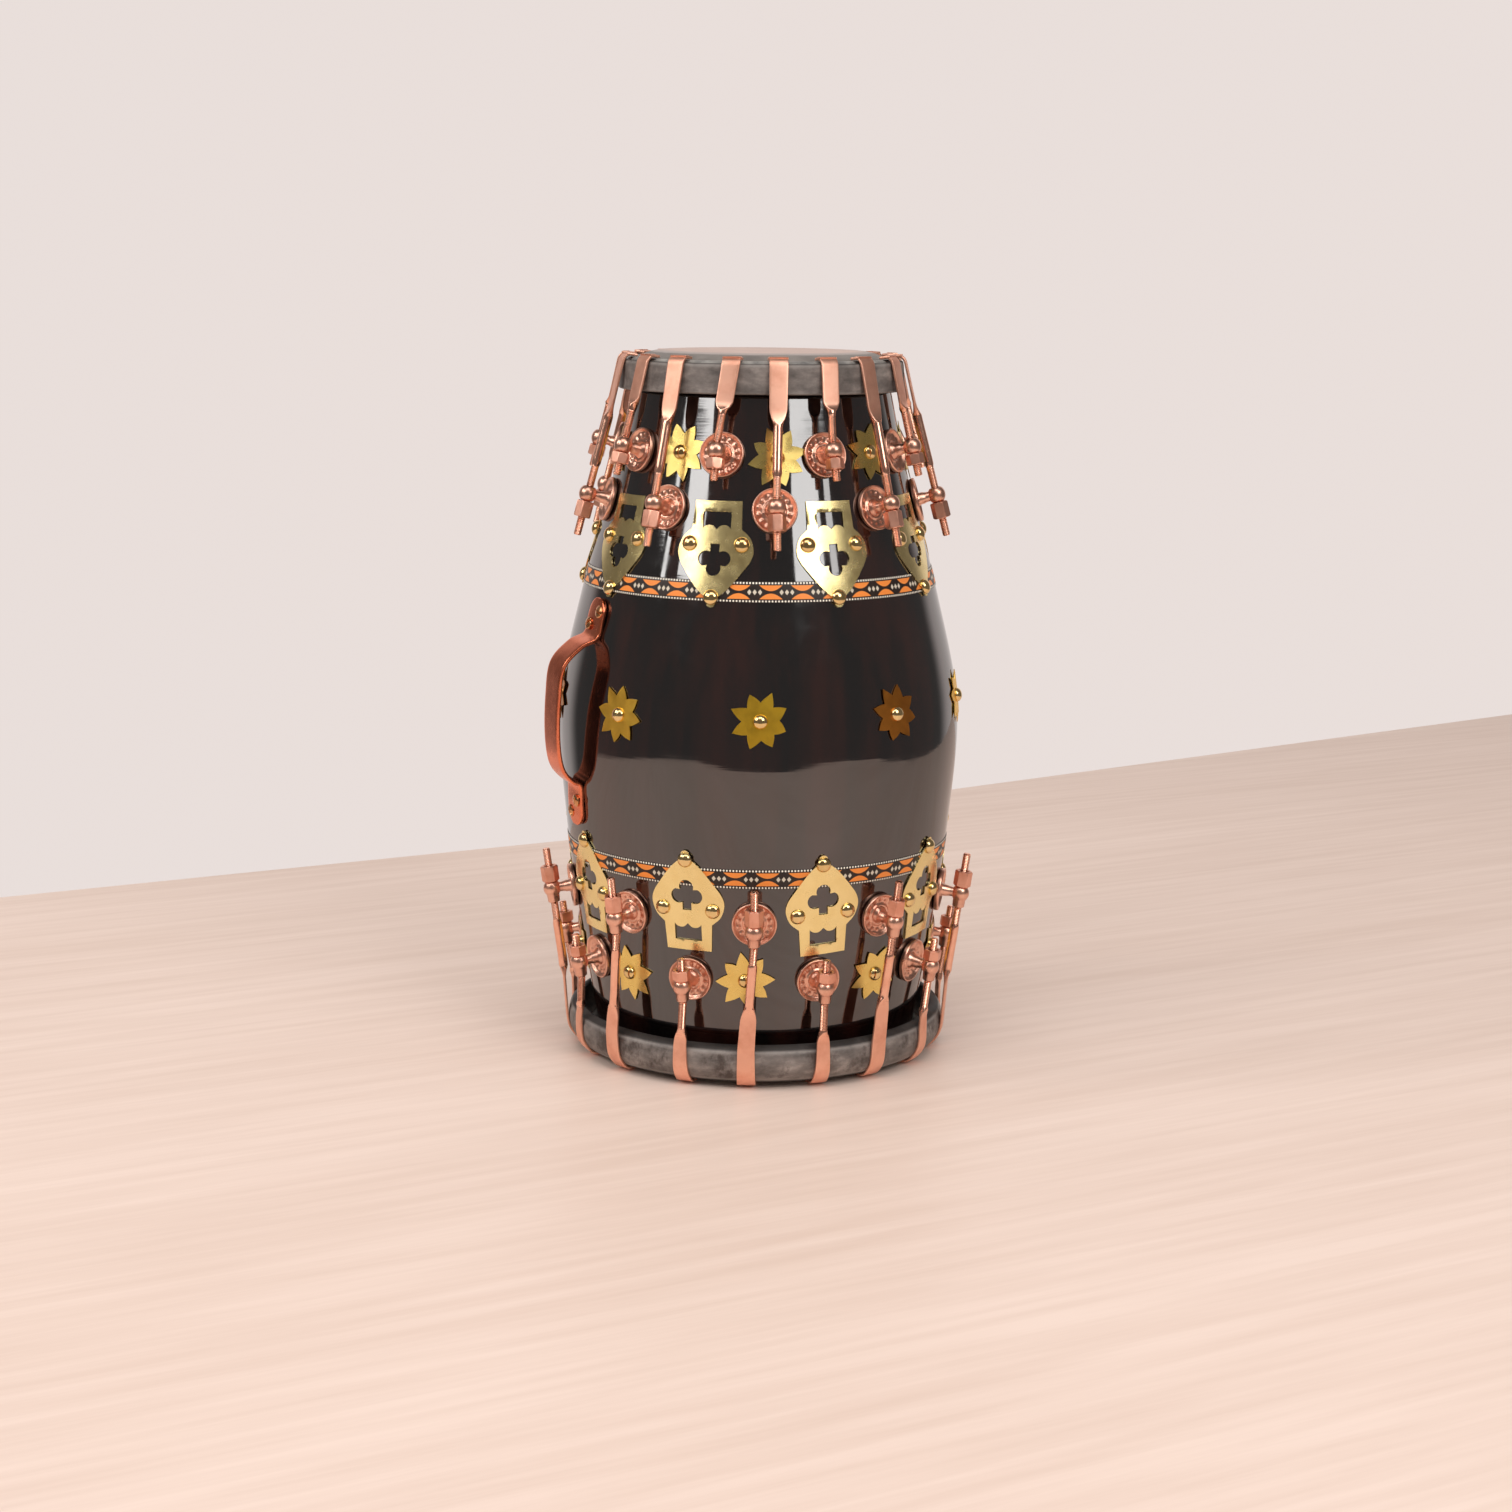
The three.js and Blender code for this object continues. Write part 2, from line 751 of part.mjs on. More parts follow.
for (const [name, head] of Object.entries(heads)) {
  dholak.add(piece(`${name}_skin`, skin(head), "skin"));
  dholak.add(piece(`${name}_flesh_ring`, fleshRing(head), "hide"));
  dholak.add(piece(`${name}_hoop`, hoopWithHooks(head), "iron"));
  dholak.add(piece(`${name}_ornament_band`, ornamentBand(head), "brass"));
  hookPlaces(head).forEach(({ degrees, kind }, k) => {
    const mesh = piece(`${name}_nut_${k + 1}`, nut(kind), "copper");
    mesh.applyMatrix4(eyeFrame(head, degrees, kind));
    dholak.add(mesh);
  });
}

const pasteLow = skinThickness + seatGap;
const paste = turnedSolid(
  [
    [0, pasteLow],
    [pasteRadius, pasteLow],
    [pasteRadius - pasteThickness, pasteLow + pasteThickness],
    [0, pasteLow + pasteThickness],
  ],
  pasteSides,
);
dholak.add(piece("bass_paste", paste, "paste"));

for (let k = 0; k < starsPerRow; k += 1) {
  const degrees = firstMiddleStarDegrees + (k * 360) / starsPerRow;
  const plate = star(degrees, overallLength * middleStarShare, k * starTwistDegrees);
  dholak.add(piece(`middle_star_${k + 1}`, plate, "brass"));
}

const handle = new THREE.Group();
handle.applyMatrix4(handleFrame);
const drilledStrap = holes.reduce((whole, hole) => whole.subtract(solid(hole)), strap());
handle.add(piece("handle", geometryOf(drilledStrap), "copper"));
screwFrames().forEach((frame, k) => {
  const mesh = piece(`handle_screw_${k + 1}`, screw(), "brass");
  mesh.applyMatrix4(frame);
  handle.add(mesh);
});
dholak.add(handle);

export default dholak;
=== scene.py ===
"""A bolt-tuned barrel drum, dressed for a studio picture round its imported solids. Lengths are in metres."""

import json
import math

import bmesh
import bpy
import numpy as np
from mathutils import Matrix, Vector
from mathutils.geometry import delaunay_2d_cdt


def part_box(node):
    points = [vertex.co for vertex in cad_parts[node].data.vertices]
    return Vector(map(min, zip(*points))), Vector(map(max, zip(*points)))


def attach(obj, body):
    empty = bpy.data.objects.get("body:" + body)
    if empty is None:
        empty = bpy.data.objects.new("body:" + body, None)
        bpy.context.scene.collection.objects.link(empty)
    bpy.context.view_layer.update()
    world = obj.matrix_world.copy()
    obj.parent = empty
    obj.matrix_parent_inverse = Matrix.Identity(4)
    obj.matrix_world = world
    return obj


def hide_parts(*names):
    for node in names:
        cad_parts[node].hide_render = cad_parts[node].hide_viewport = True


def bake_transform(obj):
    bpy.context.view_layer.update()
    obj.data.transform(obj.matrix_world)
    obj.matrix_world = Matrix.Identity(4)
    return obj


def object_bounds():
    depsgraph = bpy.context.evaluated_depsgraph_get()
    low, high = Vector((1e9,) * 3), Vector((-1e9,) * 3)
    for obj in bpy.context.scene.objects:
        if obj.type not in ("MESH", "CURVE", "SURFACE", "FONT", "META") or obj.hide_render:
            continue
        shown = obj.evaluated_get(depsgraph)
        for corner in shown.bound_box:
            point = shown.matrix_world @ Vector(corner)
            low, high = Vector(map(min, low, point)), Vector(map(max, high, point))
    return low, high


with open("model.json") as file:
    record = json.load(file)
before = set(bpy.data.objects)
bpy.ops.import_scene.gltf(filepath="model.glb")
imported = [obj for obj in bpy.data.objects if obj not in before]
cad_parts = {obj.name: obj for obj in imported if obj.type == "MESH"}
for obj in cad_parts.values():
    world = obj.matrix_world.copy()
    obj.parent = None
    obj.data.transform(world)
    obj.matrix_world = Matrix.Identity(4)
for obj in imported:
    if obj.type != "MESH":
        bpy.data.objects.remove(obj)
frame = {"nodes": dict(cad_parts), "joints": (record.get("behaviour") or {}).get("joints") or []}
cad_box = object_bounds()

MM = 0.001
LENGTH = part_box("treble_skin")[1].z

# The shell's outside: its radius at evenly spaced heights from the bass mouth to the treble mouth
STAVE_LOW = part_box("shell")[0].z
STAVE_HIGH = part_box("shell")[1].z
BELLY_RADIUS = 130.7 * MM
BASS_MOUTH = 103.8 * MM
TREBLE_MOUTH = 78.7 * MM
BASS_FULLNESS_SHARES = [0.478, 0.844]
TREBLE_FULLNESS_SHARES = [0.708, 0.312]
WALL = 12 * MM

# Hooks, eyes and nuts, alike at both heads
STRIP_THICKNESS = 1.8 * MM
ROD_RADIUS = 3.0 * MM
THREAD_RADIUS = 2.6 * MM
NUT_BORE = 3.05 * MM
ROD_TAIL = {"long": 12 * MM, "short": 7.5 * MM}
THREAD_PITCH = 1.0 * MM
THREAD_DEPTH = 0.4 * MM
EYE_RADIUS = 5.75 * MM
EYE_HALF = 4.6 * MM
EYE_BORE = 3.3 * MM
SHANK_RADIUS = 3.5 * MM
SEAT_GAP = 0.3 * MM
EYE_CLEAR = 1.5 * MM
NUT_HEIGHT = {"long": 10.5 * MM, "short": 6.8 * MM}
NUT_HALF_FLATS = 5 * MM
ROSETTE_RADIUS = 14.2 * MM

# Each head, in metres where MM is written and otherwise in millimetres and degrees. The bearing edge and
# the ring have radii, and the tape, plates and stars have the heights of their rows. Other places go down
# from the head's end towards the belly. The hoop's line is its outside as [radius, down], its face is the
# flat part of it, past which the iron is painted nearly black as shade, and its tone is the iron's shade and
# stain. The hoop's edge is set back from the end, and the ring stands a little proud of that edge. A hook
# follows the hoop's outside at some places and leaves it at a share of the hoop's height. A strip's half
# widths are those at its crook and at its shoulder.
# Shoulders, as [start, neck], and threads are measured from where the hook leaves the hoop. Each hook has a
# lean round the drum and a shift of its strip, each star a shift round and up, and each plate a shift round
# and up and a lean.
HEADS = {
    "treble": {
        "side": 1,
        "end": LENGTH,
        "bearing": 70 * MM,
        "hoop_line": [[90.6, 5.5], [91.2, 9], [91.8, 17], [92.4, 24.5]],
        "hoop_height": 19 * MM,
        "hoop_face": [7, 24.2],
        "hoop_tone": (1.0, 0.3),
        "ring": 85.1 * MM,
        "followed": [],
        "setback": 5.5 * MM,
        "ring_proud": 1.4 * MM,
        "crook": 5 * MM,
        "crook_arch": 0.6 * MM,
        "leave": 0.0,
        "strip": {"long": (6.1, 5.5), "short": (5.9, 5.5)},
        "shoulder": {"long": (28.5, 38), "short": (24, 29.5)},
        "strip_shifts": [0, 0, 0, 1, -2, 1, 2, 0, -1, -1, 1, 0, 2, 1, 0, -1, 0, 0],
        "thread": {"long": 70, "short": 32},
        "drift": [1.5, 1.8, 0, 1, 0, 1, -1, 0.5, 1.5, -0.5, 0.5, 1.5, -1, 0.5, 0.5, 1.5, 0, 3.2],
        "eye_collar": 0.0,
        "tape": 314 * MM,
        "plate": 336.3 * MM,
        "plate_drift": [
            [0, 0, 0], [0.3, 0.5, 1], [0, 0, -1.5],
            [0.4, -0.6, 2], [-0.3, 0, 0], [0, 0.7, -2],
            [0.3, 0, 1], [0, 0, 0.5], [0, 0, 0],
        ],
        "star": 395.5 * MM,
        "flat_stars": [0, 4],
        "star_drift": [
            [1.3, -1], [2.8, 1.2], [1, 0],
            [-1, 1], [2, -1], [0, 1],
            [1, 0], [-1, -1], [2.1, 1],
        ],
    },
    "bass": {
        "side": -1,
        "end": 0.0,
        "bearing": 98 * MM,
        "hoop_line": [
            [117.2, 3.5], [121.4, 6.5], [124.1, 11], [125.2, 16],
            [125, 20], [123.9, 24], [121.2, 27], [117.4, 28.6],
        ],
        "hoop_height": 24.5 * MM,
        "hoop_face": [6.2, 24.6],
        "hoop_tone": (1.1, 0.8),
        "ring": 112.3 * MM,
        "followed": [7, 11.5, 17],
        "setback": 3.5 * MM,
        "ring_proud": 0.3 * MM,
        "crook": 3.4 * MM,
        "crook_arch": 0.0,
        "leave": 1.0,
        "strip": {"long": (6.1, 5.1), "short": (5.7, 4.2)},
        "shoulder": {"long": (20, 29), "short": (3.5, 9.5)},
        "strip_shifts": [0, 0, 0, 1, -3, 0, 2, -1, -6, 1, 0, -1, 3, 0, -4, 0, -9, 0],
        "thread": {"long": 58, "short": 12},
        "drift": [-2, 0.4, -1.1, 0, 0, 1, -1.5, 0.5, -1, 1, 2, -0.5, 1, -2, -3, -5, -5.6, -1.4],
        "eye_collar": 4.6 * MM,
        "tape": 136.5 * MM,
        "plate": 120.3 * MM,
        "plate_drift": [
            [0.3, -1.6, 3.5], [1, -1.5, 1.5], [0, 0, -1.5],
            [0.4, 0.6, -2], [-0.3, 0, 0], [0, 0.7, 2],
            [0.3, 0, 1], [0, 0, 0], [0, 0.4, 0],
        ],
        "star": 69.2 * MM,
        "flat_stars": [6],
        "star_drift": [
            [-2.7, 0], [1.5, -2], [1, 0],
            [-1, 1], [2, -1], [0, 1],
            [1, 0], [-1, -1], [-3.5, -4],
        ],
    },
}


# Meshes from grids of points


def grid_quads(rows, columns, round_rows=False):
    """Four point numbers for each cell of a grid whose columns close on themselves."""
    row = np.arange(rows if round_rows else rows - 1)[:, None]
    column = np.arange(columns)[None, :]
    here, below = row * columns, (row + 1) % rows * columns
    beside = (column + 1) % columns
    cells = [here + column, here + beside, below + beside, below + column]
    return np.stack(np.broadcast_arrays(*cells), -1).reshape(-1, 4)


def signed_volume(points, faces):
    """Six times the volume that faces of equal size close, positive where they point outwards."""
    fan = [faces[:, [0, k, k + 1]] for k in range(1, faces.shape[1] - 1)]
    a, b, c = (points[np.concatenate(fan)[:, k]] for k in range(3))
    return float(np.einsum("ij,ij->i", a, np.cross(b, c)).sum())


def put_mesh(name, points, faces, smooth_degrees=35):
    """An object from points and faces of one size, with doubles merged, faces outwards and edges sharp past
    an angle."""
    points = np.asarray(points, float).reshape(-1, 3)
    if signed_volume(points, faces) < 0:
        faces = faces[:, ::-1]
    mesh = bpy.data.meshes.new(name)
    mesh.vertices.add(len(points))
    mesh.vertices.foreach_set("co", points.astype(np.float32).ravel())
    mesh.loops.add(faces.size)
    mesh.loops.foreach_set("vertex_index", faces.astype(np.int32).ravel())
    mesh.polygons.add(len(faces))
    mesh.polygons.foreach_set("loop_start", np.arange(len(faces), dtype=np.int32) * faces.shape[1])
    mesh.update(calc_edges=True)
    work = bmesh.new()
    work.from_mesh(mesh)
    bmesh.ops.remove_doubles(work, verts=work.verts, dist=1e-7)
    work.to_mesh(mesh)
    work.free()
    mesh.shade_smooth()
    mesh.set_sharp_from_angle(angle=math.radians(smooth_degrees))
    piece = bpy.data.objects.new(name, mesh)
    bpy.context.scene.collection.objects.link(piece)
    return piece


def joined(parts):
    """One array of points and one of faces from several pairs of them."""
    counts = np.cumsum([0] + [len(points) for points, _ in parts])
    points = np.concatenate([points for points, _ in parts])
    return points, np.concatenate([faces + start for (_, faces), start in zip(parts, counts)])


def outwards(degrees):
    """The unit vector out from the axis, (sin a, -cos a, 0), at azimuths a from -Y towards +X."""
    angle = np.radians(degrees)
    return np.stack([np.sin(angle), -np.cos(angle), 0 * angle], -1)


def azimuth_of(spot):
    """The azimuth of a spot in degrees, from -Y towards +X."""
    return math.degrees(math.atan2(spot[0], -spot[1]))


def face_axes(out):
    """A level direction, an upright one and an outward one, square to each other, as a matrix's rows."""
    side = np.cross([0, 0, 1.0], out)
    side /= np.linalg.norm(side)
    return np.stack([side, np.cross(out, side), out])


def turned_points(profile, count, round_rows=False):
    """A line of [radius, height] points carried round Z: (r sin a, -r cos a, z) for even angles a."""
    profile = np.asarray(profile, float)
    angle = np.linspace(0, 2 * math.pi, count, endpoint=False)
    radius, height = profile[:, 0, None], profile[:, 1, None]
    points = np.stack(
        [radius * np.sin(angle), -radius * np.cos(angle), height + 0 * angle], -1
    ).reshape(-1, 3)
    return points, grid_quads(len(profile), count, round_rows)


def smooth_through(at, places, values):
    """Values between places by cubic pieces, whose slope at a place is that of its neighbours' chord."""
    places, values = np.asarray(places, float), np.asarray(values, float)
    slope = np.gradient(values, places)
    k = np.clip(np.searchsorted(places, at) - 1, 0, len(places) - 2)
    step = places[k + 1] - places[k]
    t = (at - places[k]) / step
    rise = values[k] * (1 + 2 * t) * (1 - t) ** 2 + values[k + 1] * t * t * (3 - 2 * t)
    return rise + step * slope[k] * t * (1 - t) ** 2 - step * slope[k + 1] * t * t * (1 - t)


def smooth_line(points, steps):
    """A smooth line through [x, y] points, with so many steps from each to the next."""
    points = np.asarray(points, float)
    at = np.linspace(0, len(points) - 1, (len(points) - 1) * steps + 1)
    places = np.arange(len(points))
    return np.stack([smooth_through(at, places, points[:, k]) for k in range(2)], -1)


def rounded(corners, radii, steps=6):
    """A line of [x, y] corners, each inner one replaced by a curve that starts and ends its radius away:
    point = start (1 - t)^2 + corner 2 t (1 - t) + end t^2."""
    corners = np.asarray(corners, float)
    line = [corners[:1]]
    for k in range(1, len(corners) - 1):
        back, on = corners[k - 1] - corners[k], corners[k + 1] - corners[k]
        start = corners[k] + back / np.linalg.norm(back) * radii[k - 1]
        end = corners[k] + on / np.linalg.norm(on) * radii[k - 1]
        t = np.linspace(0, 1, steps + 1)[:, None]
        line.append(start * (1 - t) ** 2 + 2 * corners[k] * t * (1 - t) + end * t * t)
    return np.concatenate([*line, corners[-1:]])


def along(line, stations):
    """The points of a line at distances along it."""
    run = np.concatenate([[0], np.cumsum(np.linalg.norm(np.diff(line, axis=0), axis=1))])
    return np.stack([np.interp(stations, run, line[:, k]) for k in range(line.shape[1])], -1)


def run_of(line):
    """A line's length."""
    return float(np.linalg.norm(np.diff(line, axis=0), axis=1).sum())


# The shell's surface

STAVE_HEIGHTS = np.linspace(STAVE_LOW, STAVE_HIGH, 7)
STAVE_RADII = (
    [BASS_MOUTH]
    + [BASS_MOUTH + (BELLY_RADIUS - BASS_MOUTH) * share for share in BASS_FULLNESS_SHARES]
    + [BELLY_RADIUS]
    + [TREBLE_MOUTH + (BELLY_RADIUS - TREBLE_MOUTH) * share for share in TREBLE_FULLNESS_SHARES]
    + [TREBLE_MOUTH]
)


def shell_radius(height):
    """The shell's outer radius at a height, on the smooth line through its evenly spaced radii."""
    return smooth_through(np.asarray(height, float), STAVE_HEIGHTS, STAVE_RADII)


def on_shell(points, lift):
    """Moves points along their own radius to the shell's surface and a lift above it."""
    angle = np.arctan2(points[..., 0], -points[..., 1])
    radius = shell_radius(points[..., 2]) + lift
    return np.stack([radius * np.sin(angle), -radius * np.cos(angle), points[..., 2]], -1)


def shell_frame(degrees, height, span):
    """The middle, and the directions across and up the slope, of a chord of the shell's surface."""
    out = outwards(degrees)
    low, high = (out * shell_radius(z) + [0, 0, z] for z in (height - span / 2, height + span / 2))
    up = (high - low) / np.linalg.norm(high - low)
    return (low + high) / 2, outwards(degrees + 90), up


# Materials


def plug(socket, value):
    """Links a socket to another one, or gives it a value."""
    if isinstance(value, bpy.types.NodeSocket):
        socket.id_data.links.new(value, socket)
    else:
        socket.default_value = value


def nodes_of(name):
    """A new material, as a function that adds a node with values and links and one that sets its shader."""
    material = bpy.data.materials.new(name)
    material.use_nodes = True
    tree = material.node_tree
    shader = tree.nodes["Principled BSDF"]

    def add(kind, inputs=None, **settings):
        """A new node with its settings, values and links."""
        made = tree.nodes.new(kind)
        for key, value in settings.items():
            setattr(made, key, value)
        for key, value in (inputs or {}).items():
            plug(made.inputs[key], value)
        return made

    def finish(values, bump=None, bump_strength=0.2, bump_distance=0.2 * MM):
        """The material, with its shader's values and a bump set."""
        for key, value in values.items():
            plug(shader.inputs[key], value)
        if bump is not None:
            depth = {"Height": bump, "Strength": bump_strength, "Distance": bump_distance}
            plug(shader.inputs["Normal"], add("ShaderNodeBump", depth).outputs[0])
        return material

    return add, finish


def place_of(add, scale=(1, 1, 1)):
    """Object coordinates stretched by a scale."""
    coordinates = add("ShaderNodeTexCoord")
    return add(
        "ShaderNodeMapping", {"Vector": coordinates.outputs["Object"], "Scale": scale}
    ).outputs[0]


def noise(add, place, scale, detail=4.0, roughness=0.55):
    """Cloudy values from 0 to 1 over a place, finer with a larger scale."""
    values = {"Vector": place, "Scale": scale, "Detail": detail, "Roughness": roughness}
    return add("ShaderNodeTexNoise", values).outputs["Fac"]


def ramp(add, value, stops):
    """A colour ramp with stops of (place, colour), straight from each to the next."""
    made = add("ShaderNodeValToRGB", {"Fac": value})
    elements = made.color_ramp.elements
    while len(elements) < len(stops):
        elements.new(0.5)
    for element, (at, colour) in zip(elements, stops):
        element.position = at
        element.color = (*colour, 1)
    return made.outputs["Color"]


def spread(add, value, low, high, to_low, to_high):
    """A value taken from one range to another, and kept inside it."""
    values = {"Value": value, "From Min": low, "From Max": high, "To Min": to_low, "To Max": to_high}
    return add("ShaderNodeMapRange", values).outputs["Result"]


def mix(add, share, first, second):
    """A colour between two, first + (second - first) * share, each a colour or a socket."""
    made = add("ShaderNodeMix", data_type="RGBA")
    for socket, value in zip((0, 6, 7), (share, first, second)):
        plug(made.inputs[socket], (*value, 1) if isinstance(value, tuple) else value)
    return made.outputs[2]


def calc(add, operation, *values):
    """A sum, a product or another operation on numbers or sockets."""
    made = add("ShaderNodeMath", operation=operation)
    for socket, value in zip(made.inputs, values):
        plug(socket, value)
    return made.outputs[0]


def black_lacquer():
    """Black gloss over turned wood: brown staves show faintly, and turning rings ripple the reflections."""
    add, finish = nodes_of("black_lacquer")
    staves = noise(add, place_of(add, (1, 1, 0.1)), 34, 5, 0.6)
    colour = ramp(add, staves, [(0.42, (0.003, 0.0025, 0.0025)), (0.62, (0.018, 0.005, 0.0035))])
    rings = noise(add, place_of(add, (0.02, 0.02, 1)), 420, 3, 0.6)
    waves = noise(add, place_of(add, (1, 1, 1.6)), 16, 2, 0.5)
    height = calc(add, "ADD", calc(add, "MULTIPLY", rings, 0.1), waves)
    gloss = spread(add, noise(add, place_of(add), 60, 6, 0.65), 0.35, 0.75, 0.03, 0.11)
    return finish(
        {"Base Color": colour, "Roughness": gloss, "IOR": 2.05},
        height,
        bump_strength=0.12,
        bump_distance=1.2 * MM,
    )


def plated(name, light, deep, gloss, strength=0.12, flat_gloss=None):
    """Worn metal plating: patches of a lighter and a deeper tone, fine scratches and uneven gloss. With a
    flat gloss, that is the roughness of the parts whose "flat" attribute is 1."""
    add, finish = nodes_of(name)
    patches = noise(add, place_of(add), 75, 5, 0.6)
    colour = ramp(add, patches, [(0.3, deep), (0.55, light)])
    uneven = noise(add, place_of(add), 160, 4, 0.6)
    dull = spread(add, uneven, 0.3, 0.75, gloss, gloss + 0.1)
    if flat_gloss is not None:
        flat = add("ShaderNodeAttribute", attribute_name="flat").outputs["Fac"]
        dull = calc(add, "ADD", dull, calc(add, "MULTIPLY", flat, flat_gloss - gloss))
    scratches = noise(add, place_of(add, (1, 1, 0.15)), 900, 3, 0.7)
    height = calc(add, "ADD", scratches, calc(add, "MULTIPLY", patches, 0.7))
    return finish(
        {"Base Color": colour, "Metallic": 1.0, "Roughness": dull},
        height,
        bump_strength=strength,
        bump_distance=0.15 * MM,
    )


def hoop_iron(name, top, bottom, shade, stained):
    """Dark grey painted iron, cloudy and stained brown, with worn light edges at the heights given. Past
    them, where the band turns away under its lip and round its foot, the colour goes nearly black as painted
    shade."""
    add, finish = nodes_of(name)
    clouds = noise(add, place_of(add, (1, 1, 2.2)), 55, 6, 0.62)
    tones = [(0.10, 0.088, 0.08), (0.20, 0.175, 0.16), (0.36, 0.32, 0.29)]
    tones = [[part * shade for part in tone] for tone in tones]
    colour = ramp(add, clouds, list(zip((0.32, 0.52, 0.72), tones)))
    stains = noise(add, place_of(add, (1, 1, 0.7)), 34, 8, 0.72)
    colour = mix(add, spread(add, stains, 0.5, 0.6, 0.0, stained), colour, (0.052, 0.036, 0.03))
    height = add("ShaderNodeSeparateXYZ", {"Vector": place_of(add)}).outputs["Z"]

    def from_height(level):
        """How far a place's height is from a level."""
        return calc(add, "ABSOLUTE", calc(add, "SUBTRACT", height, level))

    worn = [spread(add, from_height(rim), 0.2 * MM, 1.6 * MM, 0.8, 0.0) for rim in (top, bottom)]
    share = calc(add, "MULTIPLY", calc(add, "MAXIMUM", *worn), spread(add, clouds, 0.3, 0.6, 0.3, 1.0))
    colour = mix(add, share, colour, (0.30, 0.28, 0.26))
    # Painted shade: past the face, under the lip and round the foot, the colour is darkened nearly to black
    past = calc(add, "SUBTRACT", from_height((top + bottom) / 2), abs(top - bottom) / 2)
    colour = mix(add, spread(add, past, 0.2 * MM, 1.4 * MM, 0.0, 0.9), colour, (0.02, 0.018, 0.017))
    grain = noise(add, place_of(add), 380, 5, 0.7)
    dull = spread(add, clouds, 0.3, 0.7, 0.5, 0.7)
    return finish(
        {"Base Color": colour, "Metallic": 0.25, "Roughness": dull},
        calc(add, "ADD", calc(add, "MULTIPLY", grain, 0.3), clouds),
        bump_strength=0.35,
        bump_distance=0.5 * MM,
    )


def drum_skin(name, bearing):
    """Hide that is pinkish in the middle, greyer over the bearing edge and dark grey on the collar."""
    add, finish = nodes_of(name)
    place = add("ShaderNodeSeparateXYZ", {"Vector": place_of(add)})
    squares = [calc(add, "POWER", place.outputs[k], 2.0) for k in range(2)]
    across = calc(add, "SQRT", calc(add, "ADD", *squares))
    clouds = noise(add, place_of(add), 45, 6, 0.6)
    wander = calc(add, "MULTIPLY", calc(add, "SUBTRACT", clouds, 0.5), 3 * MM)
    across = calc(add, "ADD", across, wander)
    middle = ramp(add, clouds, [(0.3, (0.46, 0.34, 0.295)), (0.7, (0.57, 0.44, 0.385))])
    edge = mix(add, spread(add, across, bearing * 0.86, bearing, 0.0, 1.0), middle, (0.34, 0.30, 0.28))
    collar = ramp(add, clouds, [(0.3, (0.13, 0.118, 0.108)), (0.7, (0.24, 0.22, 0.2))])
    colour = mix(add, spread(add, across, bearing, bearing + 2 * MM, 0.0, 1.0), edge, collar)
    pores = noise(add, place_of(add), 900, 4, 0.7)
    return finish(
        {"Base Color": colour, "Roughness": spread(add, clouds, 0.3, 0.7, 0.45, 0.6), "IOR": 1.45},
        calc(add, "ADD", pores, clouds),
        bump_strength=0.25,
        bump_distance=0.3 * MM,
    )


def ring_hide():
    """The hide lapped over the flesh ring: pale grey, wrinkled and greasy."""
    add, finish = nodes_of("ring_hide")
    clouds = noise(add, place_of(add), 110, 6, 0.65)
    tones = [(0.13, 0.125, 0.12), (0.27, 0.26, 0.24), (0.42, 0.4, 0.36)]
    colour = ramp(add, clouds, list(zip((0.3, 0.55, 0.75), tones)))
    folds = noise(add, place_of(add, (1, 1, 0.4)), 260, 4, 0.6)
    return finish({"Base Color": colour, "Roughness": 0.6}, folds, 0.6, 0.6 * MM)


ORANGE_PRINT = (0.88, 0.27, 0.045)
CREAM_PRINT = (0.66, 0.60, 0.48)
WHITE_PRINT = (0.90, 0.86, 0.74)


def tape_cell(add, turn, count):
    """How far across its own cell a place is, from -1 to 1, with so many cells round the drum."""
    share = calc(add, "FRACT", calc(add, "ADD", calc(add, "MULTIPLY", turn, count), 64.0))
    return calc(add, "SUBTRACT", calc(add, "MULTIPLY", share, 2.0), 1.0)


def tape_leaf(add, cell, level):
    """Below 1 inside a half oval that stands on the tape's edge line and narrows towards the middle."""
    to_edge = calc(add, "SUBTRACT", 0.66, level)
    across = calc(add, "ABSOLUTE", calc(add, "DIVIDE", cell, 0.72))
    leaf = calc(add, "ADD", calc(add, "POWER", across, 2.0), calc(add, "DIVIDE", to_edge, 0.54))
    return calc(add, "ADD", leaf, calc(add, "MULTIPLY", calc(add, "LESS_THAN", to_edge, 0.0), 9.0))


def tape_dot(add, cell, level):
    """Below 1 inside an oval on the edge line: (x / a)^2 + (y / b)^2."""
    wide = calc(add, "POWER", calc(add, "DIVIDE", cell, 0.56), 2.0)
    high = calc(add, "POWER", calc(add, "DIVIDE", calc(add, "SUBTRACT", level, 0.86), 0.1), 2.0)
    return calc(add, "ADD", wide, high)


def tape_lozenge(add, small_cell, cell, level):
    """Below 1 inside a lozenge, |x| / a + |y| / b, in the outer parts of a motif's cell only."""
    beside_mark = calc(add, "SUBTRACT", 1.0, calc(add, "ABSOLUTE", small_cell))
    lozenge = calc(add, "ADD", calc(add, "DIVIDE", beside_mark, 0.8), calc(add, "DIVIDE", level, 0.27))
    return calc(add, "ADD", lozenge, calc(add, "LESS_THAN", calc(add, "ABSOLUTE", cell), 0.55))


